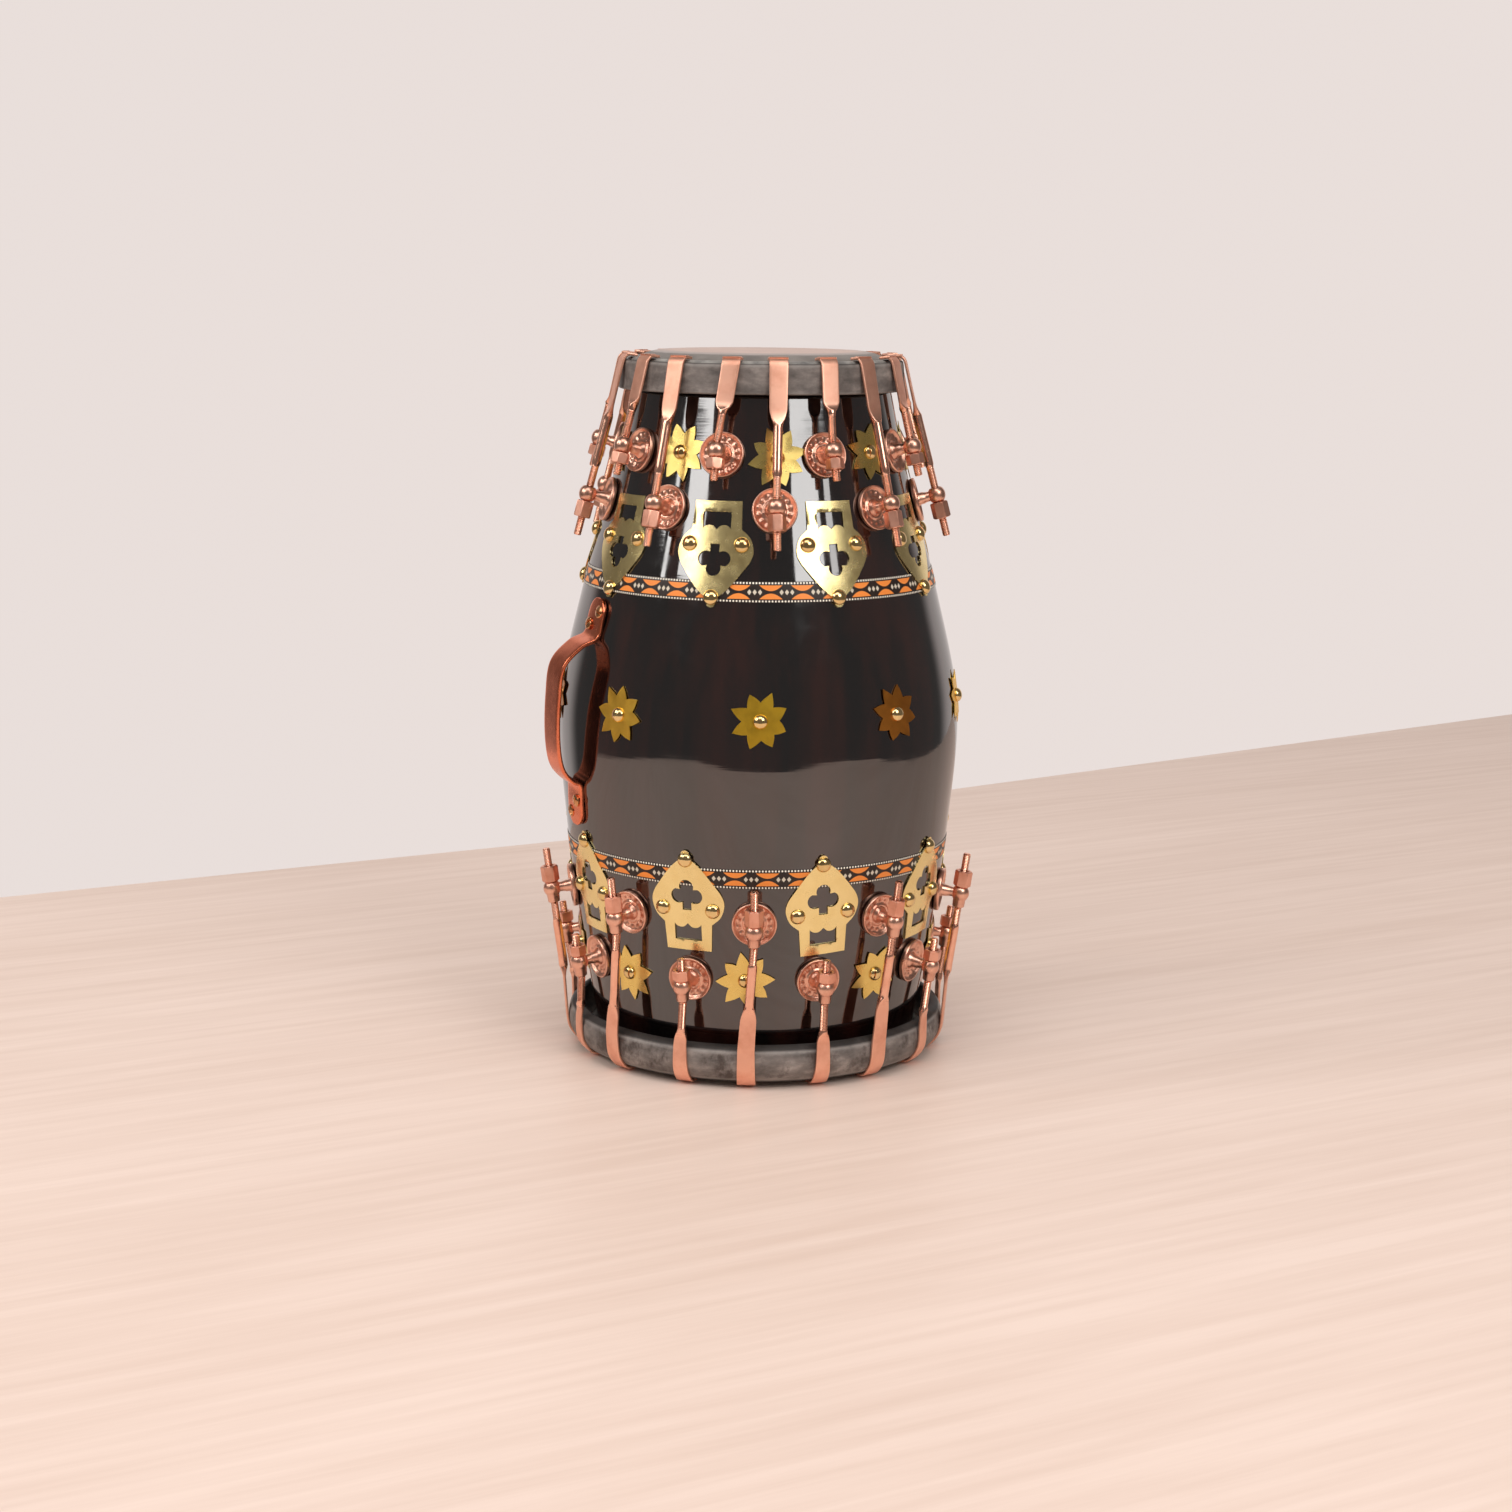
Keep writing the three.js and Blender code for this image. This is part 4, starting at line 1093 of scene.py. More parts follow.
def inside(points, loop):
    """Whether each point lies in a closed loop: a line to its right crosses an odd number of edges."""
    x, y = points[:, :1], points[:, 1:]
    a, b = loop, np.roll(loop, -1, axis=0)
    spans = (a[:, 1] > y) != (b[:, 1] > y)
    rise = np.where(b[:, 1] == a[:, 1], 1, b[:, 1] - a[:, 1])
    meets = x < a[:, 0] + (y - a[:, 1]) / rise * (b[:, 0] - a[:, 0])
    return (spans & meets).sum(1) % 2 == 1


def between(points, outline, holes):
    """Whether each point lies in an outline and in none of its holes."""
    keep = inside(points, outline)
    for hole in holes:
        keep &= ~inside(points, hole)
    return keep


def sheet_faces(outline, holes, pitch):
    """Points and triangles that fill an outline round its holes, with a grid of points between them."""
    loops = [outline, *holes]
    edges, count = [], 0
    for loop in loops:
        numbers = count + np.arange(len(loop))
        edges += list(zip(numbers.tolist(), np.roll(numbers, -1).tolist()))
        count += len(loop)
    lines = [np.arange(low, high, pitch) for low, high in zip(outline.min(0), outline.max(0))]
    grid = np.stack(np.meshgrid(*lines), -1).reshape(-1, 2)
    rim = np.concatenate(loops)
    clear = np.linalg.norm(grid[:, None] - rim[None], axis=2).min(1) > pitch * 0.5
    flat = np.concatenate([rim, grid[clear & between(grid, outline, holes)]])
    made = delaunay_2d_cdt([Vector(p) for p in flat], edges, [], 0, 1e-9)
    points = np.array([list(p) for p in made[0]])
    faces = np.array([list(f) for f in made[2]])
    return points, faces[between(points[faces].mean(1), outline, holes)]


def thickened(under, over, faces):
    """A closed sheet from its two sides and the triangles of one, with walls round its open edges, which
    are the edges that belong to one triangle only."""
    edges = np.concatenate([faces[:, [0, 1]], faces[:, [1, 2]], faces[:, [2, 0]]])
    key = np.sort(edges, axis=1)
    _, first, counts = np.unique(key, axis=0, return_index=True, return_counts=True)
    start, end = edges[first[counts == 1]].T
    count = len(under)
    walls = [np.stack([end, start, start + count], -1), np.stack([end, start + count, end + count], -1)]
    return np.concatenate([under, over]), np.concatenate([faces[:, ::-1], faces + count, *walls])


PLATE_GRID = 2.2 * MM
PLATE_SHEET = sheet_faces(*plate_outlines(), PLATE_GRID)
PLATE_THICKNESS = 0.8 * MM
PLATE_BEVEL = 0.18 * MM
PLATE_LIFT = 0.25 * MM
TIP_LIFT = 0.45 * MM
TIP_ON_TAPE = [12 * MM, 34 * MM]


def plate_frame(place):
    """A plate's middle and its directions across and up, leant by its own few degrees:
    across' = across cos a + up sin a and up' = up cos a - across sin a."""
    turn, height, lean = place
    middle, across, up = shell_frame(turn, height, PLATE_TOP)
    cos, sin = math.cos(math.radians(lean)), math.sin(math.radians(lean))
    return middle, across * cos + up * sin, up * cos - across * sin


def make_plate(name, head, place):
    """A padlock plate bent over the shell, lying on the tape at its tip and on the shell at its shackle."""
    flat, faces = PLATE_SHEET
    y = flat[:, 1] - PLATE_TOP / 2
    middle, across, up = plate_frame(place)
    spots = middle + flat[:, :1] * across * head["side"] + (y * head["side"])[:, None] * up
    lift = PLATE_LIFT + TIP_LIFT * (1 - eased(flat[:, 1], *TIP_ON_TAPE))
    under, over = on_shell(spots, lift), on_shell(spots, lift + PLATE_THICKNESS)
    piece = put_mesh(name, *thickened(under, over, faces), 40)
    bevel = piece.modifiers.new("edge", "BEVEL")
    bevel.width = PLATE_BEVEL
    bevel.segments = 1
    bevel.limit_method = "ANGLE"
    bevel.angle_limit = math.radians(50)
    return piece


# Nails: their heads as (radius, height), and their places on a plate as [across, up, lift]
PLATE_NAIL = (4.9 * MM, 3.4 * MM)
STAR_NAIL = (4.7 * MM, 3.6 * MM)
NAIL_PLACES = np.array([[-16.6, 39, 1.1], [16.6, 39, 1.1], [0, 6.2, 1.5]]) * MM
STAR_NAIL_LIFT = 0.9 * MM
NAIL_SKIRT = 0.4 * MM


def square_to(up, out):
    """The unit vector square to up that leans towards out: (up x out) x up."""
    way = np.cross(np.cross(up, out), up)
    return way / np.linalg.norm(way)


def nail_points(spot, out, radius, tall):
    """A domed nail head: an ellipse's quarter, (r cos t, h sin t), carried round its outward line."""
    turn = np.linspace(0, math.pi / 2, 8)
    dome = np.stack([radius * np.cos(turn), tall * np.sin(turn)], -1)
    profile = np.concatenate([[[0, -NAIL_SKIRT], [radius * 0.94, -NAIL_SKIRT]], dome])
    profile[-1, 0] = 0
    points, faces = turned_points(profile, 20)
    return points @ face_axes(out) + spot, faces


def make_plate_nails(name, head, places):
    """Three domed nails in each plate of a row: two at its shoulders and one at its tip."""
    nails = []
    for place in places:
        middle, across, up = plate_frame(place)
        for x, y, lift in NAIL_PLACES:
            spot = on_shell(middle + x * across + (y - PLATE_TOP / 2) * head["side"] * up, lift)
            nails.append(nail_points(spot, square_to(up, outwards(azimuth_of(spot))), *PLATE_NAIL))
    return put_mesh(name, *joined(nails), 60)


STAR_POINTS = 8
STAR_TIP = 19 * MM
STAR_NOTCH = 11.6 * MM
STAR_THICKNESS = 0.5 * MM
STAR_LIFT = 0.4 * MM
TIP_STAND = 0.8 * MM
CREASE_SHIFT = 2 * MM
STAR_ROWS = np.array([0, 0.2, 0.4, 0.55, 0.7, 0.8, 0.9, 1.0])

# The creases of a star's sheet, across from its middle: a flat star has one inside its tips, others two
STAR_CREASES = np.array([-20, -7, 5, 20]) * MM
FLAT_STAR_CREASES = np.array([-20, -7, 20, 33]) * MM


def star_outline(turn):
    """A star's radius at angles, and how near each is to its leaf's tip, from 0 to 1. The radius is that of
    the straight edge from a tip T to a notch (n_x, n_y), R = T n_y / ((T - n_x) sin a + n_y cos a) with a
    the angle from the tip, bowed out a little."""
    leaf = np.abs(turn * STAR_POINTS / math.pi % 2 - 1)
    half = math.pi / STAR_POINTS
    notch = STAR_NOTCH * np.array([math.cos(half), math.sin(half)])
    angle = (1 - leaf) * half
    edge = STAR_TIP * notch[1] / ((STAR_TIP - notch[0]) * np.sin(angle) + np.cos(angle) * notch[1])
    return edge * (1 + 0.05 * np.sin(math.pi * leaf)), leaf


def creased(place, creases, x, y, lift):
    """Points of a star's sheet, a lift above the shell. The sheet is folded along upright creases, so it
    lies on the shell in flat strips: a point is a + (b - a) u between the creases a and b at its sides.
    The creases are raised by w^2 / 8 r, the rise of the shell's arc over a strip's width w."""
    middle, across, up = shell_frame(*place, STAR_NOTCH)
    clear = np.diff(creases) ** 2 / (8 * shell_radius(place[1]))
    clear = np.maximum(np.append(clear, 0), np.append(0, clear))
    strip = np.clip(np.searchsorted(creases, x) - 1, 0, 2)
    share = (x - creases[strip]) / (creases[strip + 1] - creases[strip])
    sides = []
    for crease in (strip, strip + 1):
        spots = middle + creases[crease][..., None] * across + y[..., None] * up
        sides.append(on_shell(spots, lift + clear[crease]))
    return sides[0] + (sides[1] - sides[0]) * share[..., None]


def make_star(name, place, twist, seed, creases=STAR_CREASES):
    """A hand-cut star of eight leaves: radius = u R(t), with u from 0 in the middle to 1 at the edge.
    Leaves differ in length and angle, by values drawn for each and blended round the star, and a few tips
    stand off the shell. Its place is (azimuth, height)."""
    random = np.random.default_rng(seed)
    turn = np.linspace(0, 2 * math.pi, STAR_POINTS * 12, endpoint=False)
    edge, leaf = star_outline(turn)

    def by_leaf(values):
        """One value for each leaf, blended straight from each to the next round the star."""
        return np.interp(turn, np.linspace(0, 2 * math.pi, STAR_POINTS + 1), [*values, values[0]])

    edge *= 1 + by_leaf(random.uniform(-0.12, 0.04, STAR_POINTS)) * leaf
    stand = by_leaf(random.uniform(0, 1.3, STAR_POINTS) ** 3)
    angle = turn + math.radians(twist) + by_leaf(random.uniform(-0.07, 0.07, STAR_POINTS))
    x, y = (STAR_ROWS[:, None] * edge * f(angle) for f in (np.cos, np.sin))
    creases = creases + random.uniform(-1, 1) * CREASE_SHIFT
    lift = STAR_LIFT + TIP_STAND * stand * np.clip(STAR_ROWS[:, None] - 0.45, 0, 1) ** 1.5
    over, under = (creased(place, creases, x, y, lift + extra) for extra in (STAR_THICKNESS, 0))
    points = np.concatenate([over, under[::-1]]).reshape(-1, 3)
    return put_mesh(name, points, grid_quads(2 * len(STAR_ROWS), len(turn)), 40)


def make_star_nails(name, places):
    """A domed nail in the middle of each star of a row."""
    nails = []
    for degrees, height in places:
        _, _, up = shell_frame(degrees, height, STAR_NOTCH)
        spot = on_shell(outwards(degrees) * BELLY_RADIUS + [0, 0, height], STAR_NAIL_LIFT)
        nails.append(nail_points(spot, square_to(up, outwards(degrees)), *STAR_NAIL))
    return put_mesh(name, *joined(nails), 60)


MIDDLE_STAR = 237.5 * MM
FIRST_MIDDLE_STAR = -28.5
MIDDLE_STAR_SPACING = 40
MIDDLE_STAR_DRIFT = [
    [0.6, -0.8], [1.2, -0.4], [0, 0],
    [1, -1], [-1, 1], [0, 0],
    [1, 1], [0, -1], [-1.6, -2.8],
]


def shifted(places, drifts):
    """Places of (degrees, height) with each row's own small shift, in degrees and millimetres."""
    return [(degrees + turn, height + up * MM) for (degrees, height), (turn, up) in zip(places, drifts)]


TAPE_HALF = 6.3 * MM
TAPE_UNDER = 0.03 * MM
TAPE_MOTIF = 20 * MM

# The tape's section as [share of its half width, height above the shell in millimetres]
TAPE_SECTION = [
    [-1, 0.08], [-0.97, 0.3], [-0.9, 0.42], [-0.5, 0.45], [0, 0.45],
    [0.5, 0.45], [0.9, 0.42], [0.97, 0.3], [1, 0.08],
]


def make_tape(name, head):
    """The tape: a thin band on the shell with rounded edges."""
    share, lift = np.array(TAPE_SECTION).T
    heights = head["tape"] + TAPE_HALF * share
    outer = np.stack([shell_radius(heights) + lift * MM, heights], -1)
    inner = np.stack([shell_radius(heights) + TAPE_UNDER, heights], -1)[::-1]
    return put_mesh(name, *turned_points(np.concatenate([outer, inner]), 256, round_rows=True), 60)


# Handle

HANDLE_DEGREES = -90
HANDLE_TOP = 303.5 * MM
HANDLE_BOTTOM = 155.5 * MM
HANDLE_FOOT = 26 * MM
LOWER_BEND = 30 * MM
HANDLE_REACH = 149.5 * MM
HANDLE_TILT = -5
HANDLE_HALF = 10 * MM
HANDLE_THICKNESS = 2.8 * MM
HANDLE_ROUND = 12 * MM
HANDLE_EDGE = 0.5 * MM
SEAT_RUN = 2 * MM
HANDLE_LINE_SHARES = [[0.45, 0.035], [0.9, 0.17], [1, 0.4], [0.98, 0.68], [0.8, 0.88], [0.4, 0.985]]


def tilted(points):
    """Points of an upright handle, (across, out, up), turned in its own plane about its middle height by
    (x cos a - z sin a, x sin a + z cos a), and then to its azimuth."""
    angle = math.radians(HANDLE_TILT)
    rise = points[:, 2] - (HANDLE_TOP + HANDLE_BOTTOM) / 2
    across = points[:, 0] * math.cos(angle) - rise * math.sin(angle)
    up = points[:, 0] * math.sin(angle) + rise * math.cos(angle)
    local = np.stack([across, points[:, 1], up + (HANDLE_TOP + HANDLE_BOTTOM) / 2], -1)
    return placed(local, HANDLE_DEGREES)


def handle_line():
    """The strap's middle line as [out, up], from its top end to its bottom end: a smooth line through its
    feet on the shell and a bow between them. The bow's points are shares of its reach and of its height."""
    half = HANDLE_THICKNESS / 2
    upper, lower = HANDLE_TOP - HANDLE_FOOT, HANDLE_BOTTOM + LOWER_BEND

    def seated(*heights):
        """Points of the strap's middle where it lies on the shell."""
        return [[shell_radius(height) + SEAT_GAP + half, height] for height in heights]

    bow = []
    for reach, down in HANDLE_LINE_SHARES:
        height = upper + (lower - upper) * down
        foot = shell_radius(upper) + (shell_radius(lower) - shell_radius(upper)) * down
        bow.append([foot + (HANDLE_REACH - half - foot) * reach, height])
    seat = seated(HANDLE_TOP, (HANDLE_TOP + upper) / 2, upper + SEAT_RUN)
    rest = seated(lower - SEAT_RUN, (HANDLE_BOTTOM + lower) / 2, HANDLE_BOTTOM)
    return smooth_line([*seat, *bow, *rest], 12)


def make_handle():
    """A flat strap along its line, with half-round ends and rounded edges. Its feet are bent over the
    shell: they sink by r - sqrt(r^2 - x^2) at a distance x from their middle."""
    line = handle_line()
    total = run_of(line)
    near = HANDLE_HALF * (1 - np.cos(np.linspace(0, math.pi / 2, 14)))
    plain = np.linspace(HANDLE_HALF, total - HANDLE_HALF, 110)[1:-1]
    stations = np.concatenate([near, plain, total - near[::-1]])
    from_end = np.minimum(stations, total - stations)
    width = HANDLE_HALF * np.sqrt(1 - (1 - np.minimum(from_end / HANDLE_HALF, 1)) ** 2)
    thick = np.full_like(stations, HANDLE_THICKNESS / 2) * np.minimum(1, 0.2 + from_end / HANDLE_EDGE)
    power = np.full_like(stations, 9.0)
    points, faces = swept(along(line, stations), np.maximum(width, 1e-6), thick, power, 36)
    sag = BELLY_RADIUS - np.sqrt(np.maximum(BELLY_RADIUS**2 - points[:, 0] ** 2, 0))
    foot = total / 2 - HANDLE_FOOT
    bent = eased(np.abs(stations - total / 2), foot - HANDLE_ROUND, foot)
    points[:, 1] -= sag * np.repeat(bent, 36)
    return put_mesh("copper_handle", tilted(points), faces, 40)


SCREW_RADIUS = 4 * MM
SCREW_HEIGHT = 1.5 * MM
SCREW_SKIRT = 0.3 * MM
SCREW_GAP = 0.1 * MM
SLOT_SIZE = 0.55 * MM

# The shell's slope under a screw is taken over this much on either side
SLOPE_SPAN = 5 * MM


def screw_points(spot, out, slot_degrees):
    """A slotted round head: a low dome, height = h sqrt(1.15 - u^2) over its radius u r, whose height drops
    where a straight slot crosses it."""
    turn = np.linspace(0, 2 * math.pi, 48, endpoint=False)
    share = np.array([0, 0.12, 0.2, 0.35, 0.55, 0.75, 0.9, 1.0])[:, None]
    x, y = (share * SCREW_RADIUS * f(turn) for f in (np.cos, np.sin))
    height = SCREW_HEIGHT * np.sqrt(np.maximum(1.15 - share**2, 0)) + 0 * turn
    height = np.where(np.abs(x) < SLOT_SIZE, np.minimum(height, SLOT_SIZE), height)
    low = np.stack([x[-1], y[-1], np.full_like(turn, -SCREW_SKIRT)], -1)[None]
    middle = np.zeros_like(low) + [0, 0, -SCREW_SKIRT]
    grid = np.concatenate([np.stack([x, y, height], -1), low, middle])
    side, other, out = face_axes(out)
    cos, sin = math.cos(math.radians(slot_degrees)), math.sin(math.radians(slot_degrees))
    basis = np.stack([side * cos + other * sin, other * cos - side * sin, out])
    return grid.reshape(-1, 3) @ basis + spot, grid_quads(len(grid), 48)


def fit_screws():
    """The four slotted screws in the handle's feet, each standing for its own node. They point square to
    the shell, out minus its slope up."""
    for number in range(1, 5):
        node = f"handle_screw_{number}"
        low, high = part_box(node)
        spot = np.array((low + high) / 2)
        rise = shell_radius(spot[2] + SLOPE_SPAN) - shell_radius(spot[2] - SLOPE_SPAN)
        out = outwards(azimuth_of(spot)) - [0, 0, rise / (2 * SLOPE_SPAN)]
        spot = on_shell(spot, SEAT_GAP + HANDLE_THICKNESS + SCREW_GAP)
        turned = screw_points(spot, out / np.linalg.norm(out), 25 + 50 * number)
        piece = put_mesh(f"slotted_screw_{number}", *turned, 30)
        dress(piece, SCREW_COPPER, "barrel", [node])


# The drum, piece by piece

joints = {joint["name"]: joint for joint in frame["joints"]}


def fit_hoop(name, head, tension):
    """The hoop's band and the lapped ring that it presses."""
    face = [head_height(head, down * MM) for down in head["hoop_face"]]
    hoop_finish = hoop_iron(f"{name}_hoop_iron", *face, *head["hoop_tone"])
    dress(make_hoop(name, head), hoop_finish, tension, [f"{name}_hoop"])
    dress(make_ring(name, head), ring_hide(), tension, [f"{name}_flesh_ring"])


def fit_skin(name, head):
    """The skin, whose collar bends from the barrel's bearing edge to the ring that pulls it."""
    skin = make_skin(name, head)
    skin.data.materials.append(drum_skin(f"{name}_skin_hide", head["bearing"]))
    _, ring_down = ring_middle(head)
    head_height(head, 0.8 * MM)
    head_height(head, ring_down - 1.2 * MM)
    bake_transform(skin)
    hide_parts(f"{name}_skin")


def fit_tape(name, head):
    """The printed tape, with as many whole motifs as fit round the shell."""
    tape = make_tape(f"{name}_tape", head)
    motifs = round(2 * math.pi * shell_radius(head["tape"]) / TAPE_MOTIF)
    tape_finish = ornament_tape(f"{name}_tape_print", head["tape"], TAPE_HALF, motifs)
    dress(tape, tape_finish, "barrel", [f"{name}_ornament_band"])


def fit_hooks(name, head, tension):
    """The hook bolts with their lugs and nuts, long and short in turn, and the azimuths of both kinds."""
    places = {"long": [], "short": []}
    for k in range(18):
        kind = "short" if k % 2 else "long"
        joint = joints[f"{name}_nut_{k + 1}_spin"]
        places[kind].append(local_axis(joint)[2])
        drift, shift = head["drift"][k], head["strip_shifts"][k]
        hook = make_hook(f"{name}_hook_{k + 1}", head, joint, kind, drift, shift)
        dress(hook, HOOK_COPPER, tension)
        dress(make_lug(f"{name}_lug_{k + 1}", head, joint, kind), COPPER, "barrel")
        nut = make_nut(f"{name}_hex_nut_{k + 1}", joint, kind, NUT_TURN * k)
        dress(nut, NUT_COPPER, f"{name}_nut_{k + 1}", [f"{name}_nut_{k + 1}"])
    return places


def fit_plates(name, head, azimuths):
    """The padlock plates, one behind each short hook, and their nails."""
    plates = [
        (degrees + turn, head["plate"] + up * MM, lean)
        for degrees, (turn, up, lean) in zip(azimuths, head["plate_drift"])
    ]
    for k, place in enumerate(plates):
        dress(make_plate(f"{name}_padlock_plate_{k + 1}", head, place), BRASS, "barrel")
    dress(make_plate_nails(f"{name}_plate_nails", head, plates), NAIL_BRASS, "barrel")


def fit_stars(name, head, azimuths):
    """The stars, one behind each long hook, and their nails."""
    spots = shifted([(degrees, head["star"]) for degrees in azimuths], head["star_drift"])
    for k, place in enumerate(spots):
        creases = FLAT_STAR_CREASES if k in head["flat_stars"] else STAR_CREASES
        star = make_star(f"{name}_star_{k + 1}", place, 11 + 17 * k + 5 * head["side"], 40 + k, creases)
        dress(star, STAR_BRASS, "barrel")
    dress(make_star_nails(f"{name}_star_nails", spots), NAIL_BRASS, "barrel")


def fit_belly_stars():
    """The row of stars round the belly, in three tints in turn, and their nails."""
    azimuths = [FIRST_MIDDLE_STAR + MIDDLE_STAR_SPACING * k for k in range(9)]
    spots = shifted([(degrees, MIDDLE_STAR) for degrees in azimuths], MIDDLE_STAR_DRIFT)
    for k, place in enumerate(spots):
        star = make_star(f"belly_star_{k + 1}", place, 26 + 7 * k, 70 + k)
        dress(star, BELLY_STAR_BRASS[k % 3], "barrel", [f"middle_star_{k + 1}"])
    dress(make_star_nails("belly_star_nails", spots), NAIL_BRASS, "barrel")


dress(make_shell(), LACQUER, "barrel", ["shell"])
for name, head in HEADS.items():
    tension = f"{name}_tension"
    fit_hoop(name, head, tension)
    fit_skin(name, head)
    fit_tape(name, head)
    places = fit_hooks(name, head, tension)
    fit_plates(name, head, places["short"])
    fit_stars(name, head, places["long"])
fit_belly_stars()
dress(make_handle(), HANDLE_COPPER, "barrel", ["handle"])
fit_screws()

paste = frame["nodes"]["bass_paste"]
paste.data.materials.clear()
paste.data.materials.append(dull_paste())

# Studio: a pale table top, a pale wall colour round it, soft lamps and the photograph's view.
# The camera stands at an azimuth, a distance in metres and an elevation from the point it circles, and is
# turned by its own angles, in degrees. Its focal length is a share of the picture's width.
VIEW_DEGREES = -28.5
CAMERA_DISTANCE = 1.7263
CAMERA_ELEVATION = 9.300
CIRCLED_HEIGHT = 0.2275
CAMERA_YAW, CAMERA_PITCH, CAMERA_ROLL = -0.041, 10.482, -0.593
FOCAL_SHARE = 2616.5 / 1512
SENSOR_WIDTH = 36


def view_turn():
    """Turns directions of the view, where -Y points at the camera, to the drum's own."""
    return Matrix.Rotation(math.radians(VIEW_DEGREES), 3, "Z")


def make_camera():
    """The camera, its axes the right, the up and the back of its view: ahead = (sin yaw cos pitch, cos yaw
    cos pitch, -sin pitch), and right and up turned about it by the roll."""
    data = bpy.data.cameras.new("studio_camera")
    data.sensor_width = SENSOR_WIDTH
    data.lens = FOCAL_SHARE * data.sensor_width
    camera = bpy.data.objects.new("studio_camera", data)
    bpy.context.scene.collection.objects.link(camera)
    yaw, pitch, roll = (math.radians(x) for x in (CAMERA_YAW, CAMERA_PITCH, CAMERA_ROLL))
    ahead = Vector((math.sin(yaw) * math.cos(pitch), math.cos(yaw) * math.cos(pitch), -math.sin(pitch)))
    level = ahead.cross(Vector((0, 0, 1))).normalized()
    upright = level.cross(ahead)
    right = level * math.cos(roll) - upright * math.sin(roll)
    up = level * math.sin(roll) + upright * math.cos(roll)
    rise = math.radians(CAMERA_ELEVATION)
    away, above = CAMERA_DISTANCE * math.cos(rise), CAMERA_DISTANCE * math.sin(rise)
    spot = Vector((0, -away, CIRCLED_HEIGHT + above))
    axes = Matrix((right, up, -ahead)).transposed()
    camera.matrix_world = Matrix.Translation(view_turn() @ spot) @ (view_turn() @ axes).to_4x4()
    bpy.context.scene.camera = camera


# The table's outline in metres, to the right of the drum and away from the camera
TABLE_EDGE = [
    [-0.94, -0.5], [-0.8, -0.76], [-0.6, -0.92], [0.6, -0.86], [0.86, -0.74],
    [1.0, -0.4], [1.0, 1.434], [-0.151, 0.618], [-1.0, 0.159],
]
TABLE_GRID = 0.3
TABLE_GAP = 0.2 * MM
TABLE_THICKNESS = 30 * MM


def make_floor():
    """A pale table top under the drum, turned to the view, whose far edge crosses the picture behind it."""
    flat, faces = sheet_faces(np.array(TABLE_EDGE), [], TABLE_GRID)
    level = np.full((len(flat), 1), cad_box[0].z - TABLE_GAP)
    top = np.concatenate([flat, level], 1) @ np.array(view_turn()).T
    floor = put_mesh("table_top", *thickened(top - [0, 0, TABLE_THICKNESS], top, faces), 30)
    add, finish = nodes_of("pale_table")
    grain = noise(add, place_of(add, (0.05, 1, 1)), 80, 5, 0.6)
    bands = noise(add, place_of(add, (0.1, 1, 1)), 7, 3, 0.5)
    share = calc(add, "ADD", calc(add, "MULTIPLY", grain, 0.6), calc(add, "MULTIPLY", bands, 0.4))
    colour = ramp(add, share, [(0.38, (0.72, 0.57, 0.487)), (0.6, (0.80, 0.652, 0.57))])
    floor.data.materials.append(finish({"Base Color": colour, "Roughness": 0.42, "IOR": 1.33}))


LAMP_COLOUR = (1.0, 0.975, 0.955)
LAMP_AIM = Vector((0, 0, 0.4))


def make_lamp(name, azimuths, elevations, distance, brightness, seen):
    """A soft rectangular lamp that fills a range of azimuths and elevations, in degrees, seen from a point
    in the drum's upper half. Azimuths run from the camera's side towards the right. Its sides are
    2 d tan(span / 2), and its power is brightness * pi * area."""
    azimuth, elevation = (math.radians(sum(ends) / 2) for ends in (azimuths, elevations))
    level = math.cos(elevation)
    way = Vector((math.sin(azimuth) * level, -math.cos(azimuth) * level, math.sin(elevation)))
    wide, high = (math.radians(ends[1] - ends[0]) for ends in (azimuths, elevations))
    data = bpy.data.lights.new(name, "AREA")
    data.shape = "RECTANGLE"
    data.size, data.size_y = (2 * distance * math.tan(span / 2) for span in (wide * level, high))
    data.energy = brightness * math.pi * data.size * data.size_y
    data.color = LAMP_COLOUR
    lamp = bpy.data.objects.new(name, data)
    bpy.context.scene.collection.objects.link(lamp)
    lamp.location = view_turn() @ (way * distance + LAMP_AIM)
    lamp.rotation_euler = (view_turn() @ way).to_track_quat("Z", "Y").to_euler()
    lamp.visible_glossy = seen


# The wall, how much of it diffuse rays see and glossy rays see behind and in front, and where that changes
WALL_COLOUR = (0.815, 0.735, 0.705, 1)
WALL_SHARES = {"diffuse": 0.55, "behind": 1.0, "front": 0.175}
BEHIND_EDGE = {"From Min": -0.78, "From Max": -0.58}


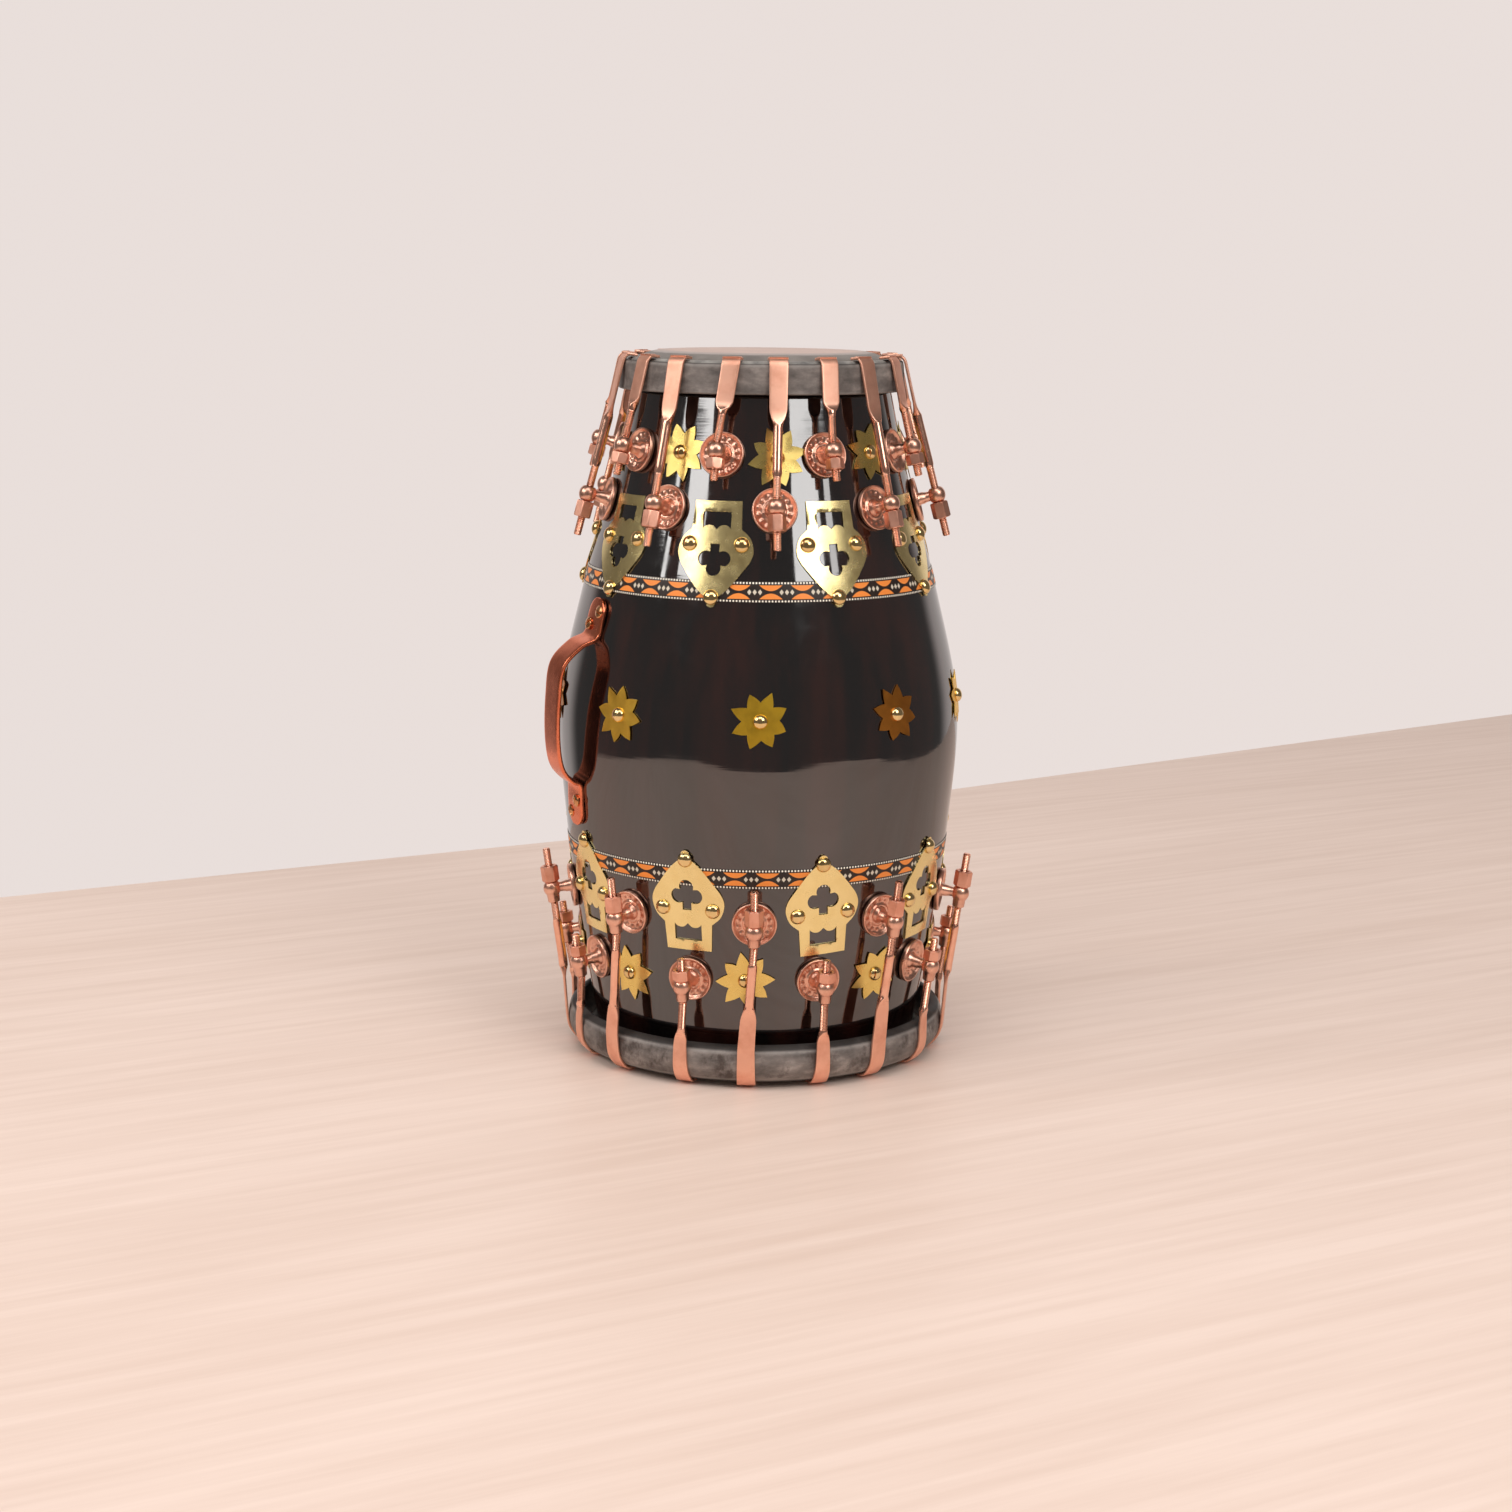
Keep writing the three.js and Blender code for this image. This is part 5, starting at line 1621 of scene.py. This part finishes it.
def make_world():
    """A pale room. Camera rays see the plain wall colour all round, and diffuse rays a share of it. Glossy
    rays see it straight behind the drum, where direction . front is low, and a darker room elsewhere."""
    world = bpy.data.worlds.new("studio")
    world.use_nodes = True
    bpy.context.scene.world = world
    nodes = world.node_tree.nodes
    facing = nodes.new("ShaderNodeVectorMath")
    facing.operation = "DOT_PRODUCT"
    plug(facing.inputs[0], nodes.new("ShaderNodeTexCoord").outputs["Generated"])
    plug(facing.inputs[1], view_turn() @ Vector((0, -1, 0)))
    room = nodes.new("ShaderNodeMapRange")
    room.interpolation_type = "SMOOTHSTEP"
    levels = {**BEHIND_EDGE, "To Min": WALL_SHARES["behind"], "To Max": WALL_SHARES["front"]}
    for key, value in {"Value": facing.outputs["Value"], **levels}.items():
        plug(room.inputs[key], value)
    rays = nodes.new("ShaderNodeLightPath")

    def by_ray(kind, other, own):
        """One strength for a kind of ray and another for the rest."""
        made = nodes.new("ShaderNodeMix")
        for socket, value in zip((0, 2, 3), (rays.outputs[kind], other, own)):
            plug(made.inputs[socket], value)
        return made.outputs[0]

    reflected = by_ray("Is Glossy Ray", WALL_SHARES["diffuse"], room.outputs["Result"])
    plug(nodes["Background"].inputs["Color"], WALL_COLOUR)
    plug(nodes["Background"].inputs["Strength"], by_ray("Is Camera Ray", reflected, 1.0))


# Each lamp's azimuths, elevations, distance in metres, brightness, and whether reflections show it
LAMPS = {
    "left_softbox": [(-57, -41), (17.5, 23), 2.2, 5.8, True],
    "left_upper": [(-57, -38), (27, 42), 2.2, 5.6, True],
    "left_side": [(-84, -71), (18, 42), 2.2, 6.5, True],
    "left_strip": [(-69, -66), (14.5, 22), 2.2, 6, True],
    "right_softbox": [(23, 46), (18, 42), 2.2, 5.4, True],
    "right_strip": [(49.5, 55), (18, 42), 2.2, 4, True],
    "front_fill": [(-40, 40), (44, 68), 3.4, 2.3, True],
    "overhead": [(-150, 150), (68, 100), 3.4, 2.8, False],
}

make_camera()
make_floor()
make_world()
for name, values in LAMPS.items():
    make_lamp(name, *values)

bpy.context.scene.view_settings.view_transform = "Standard"
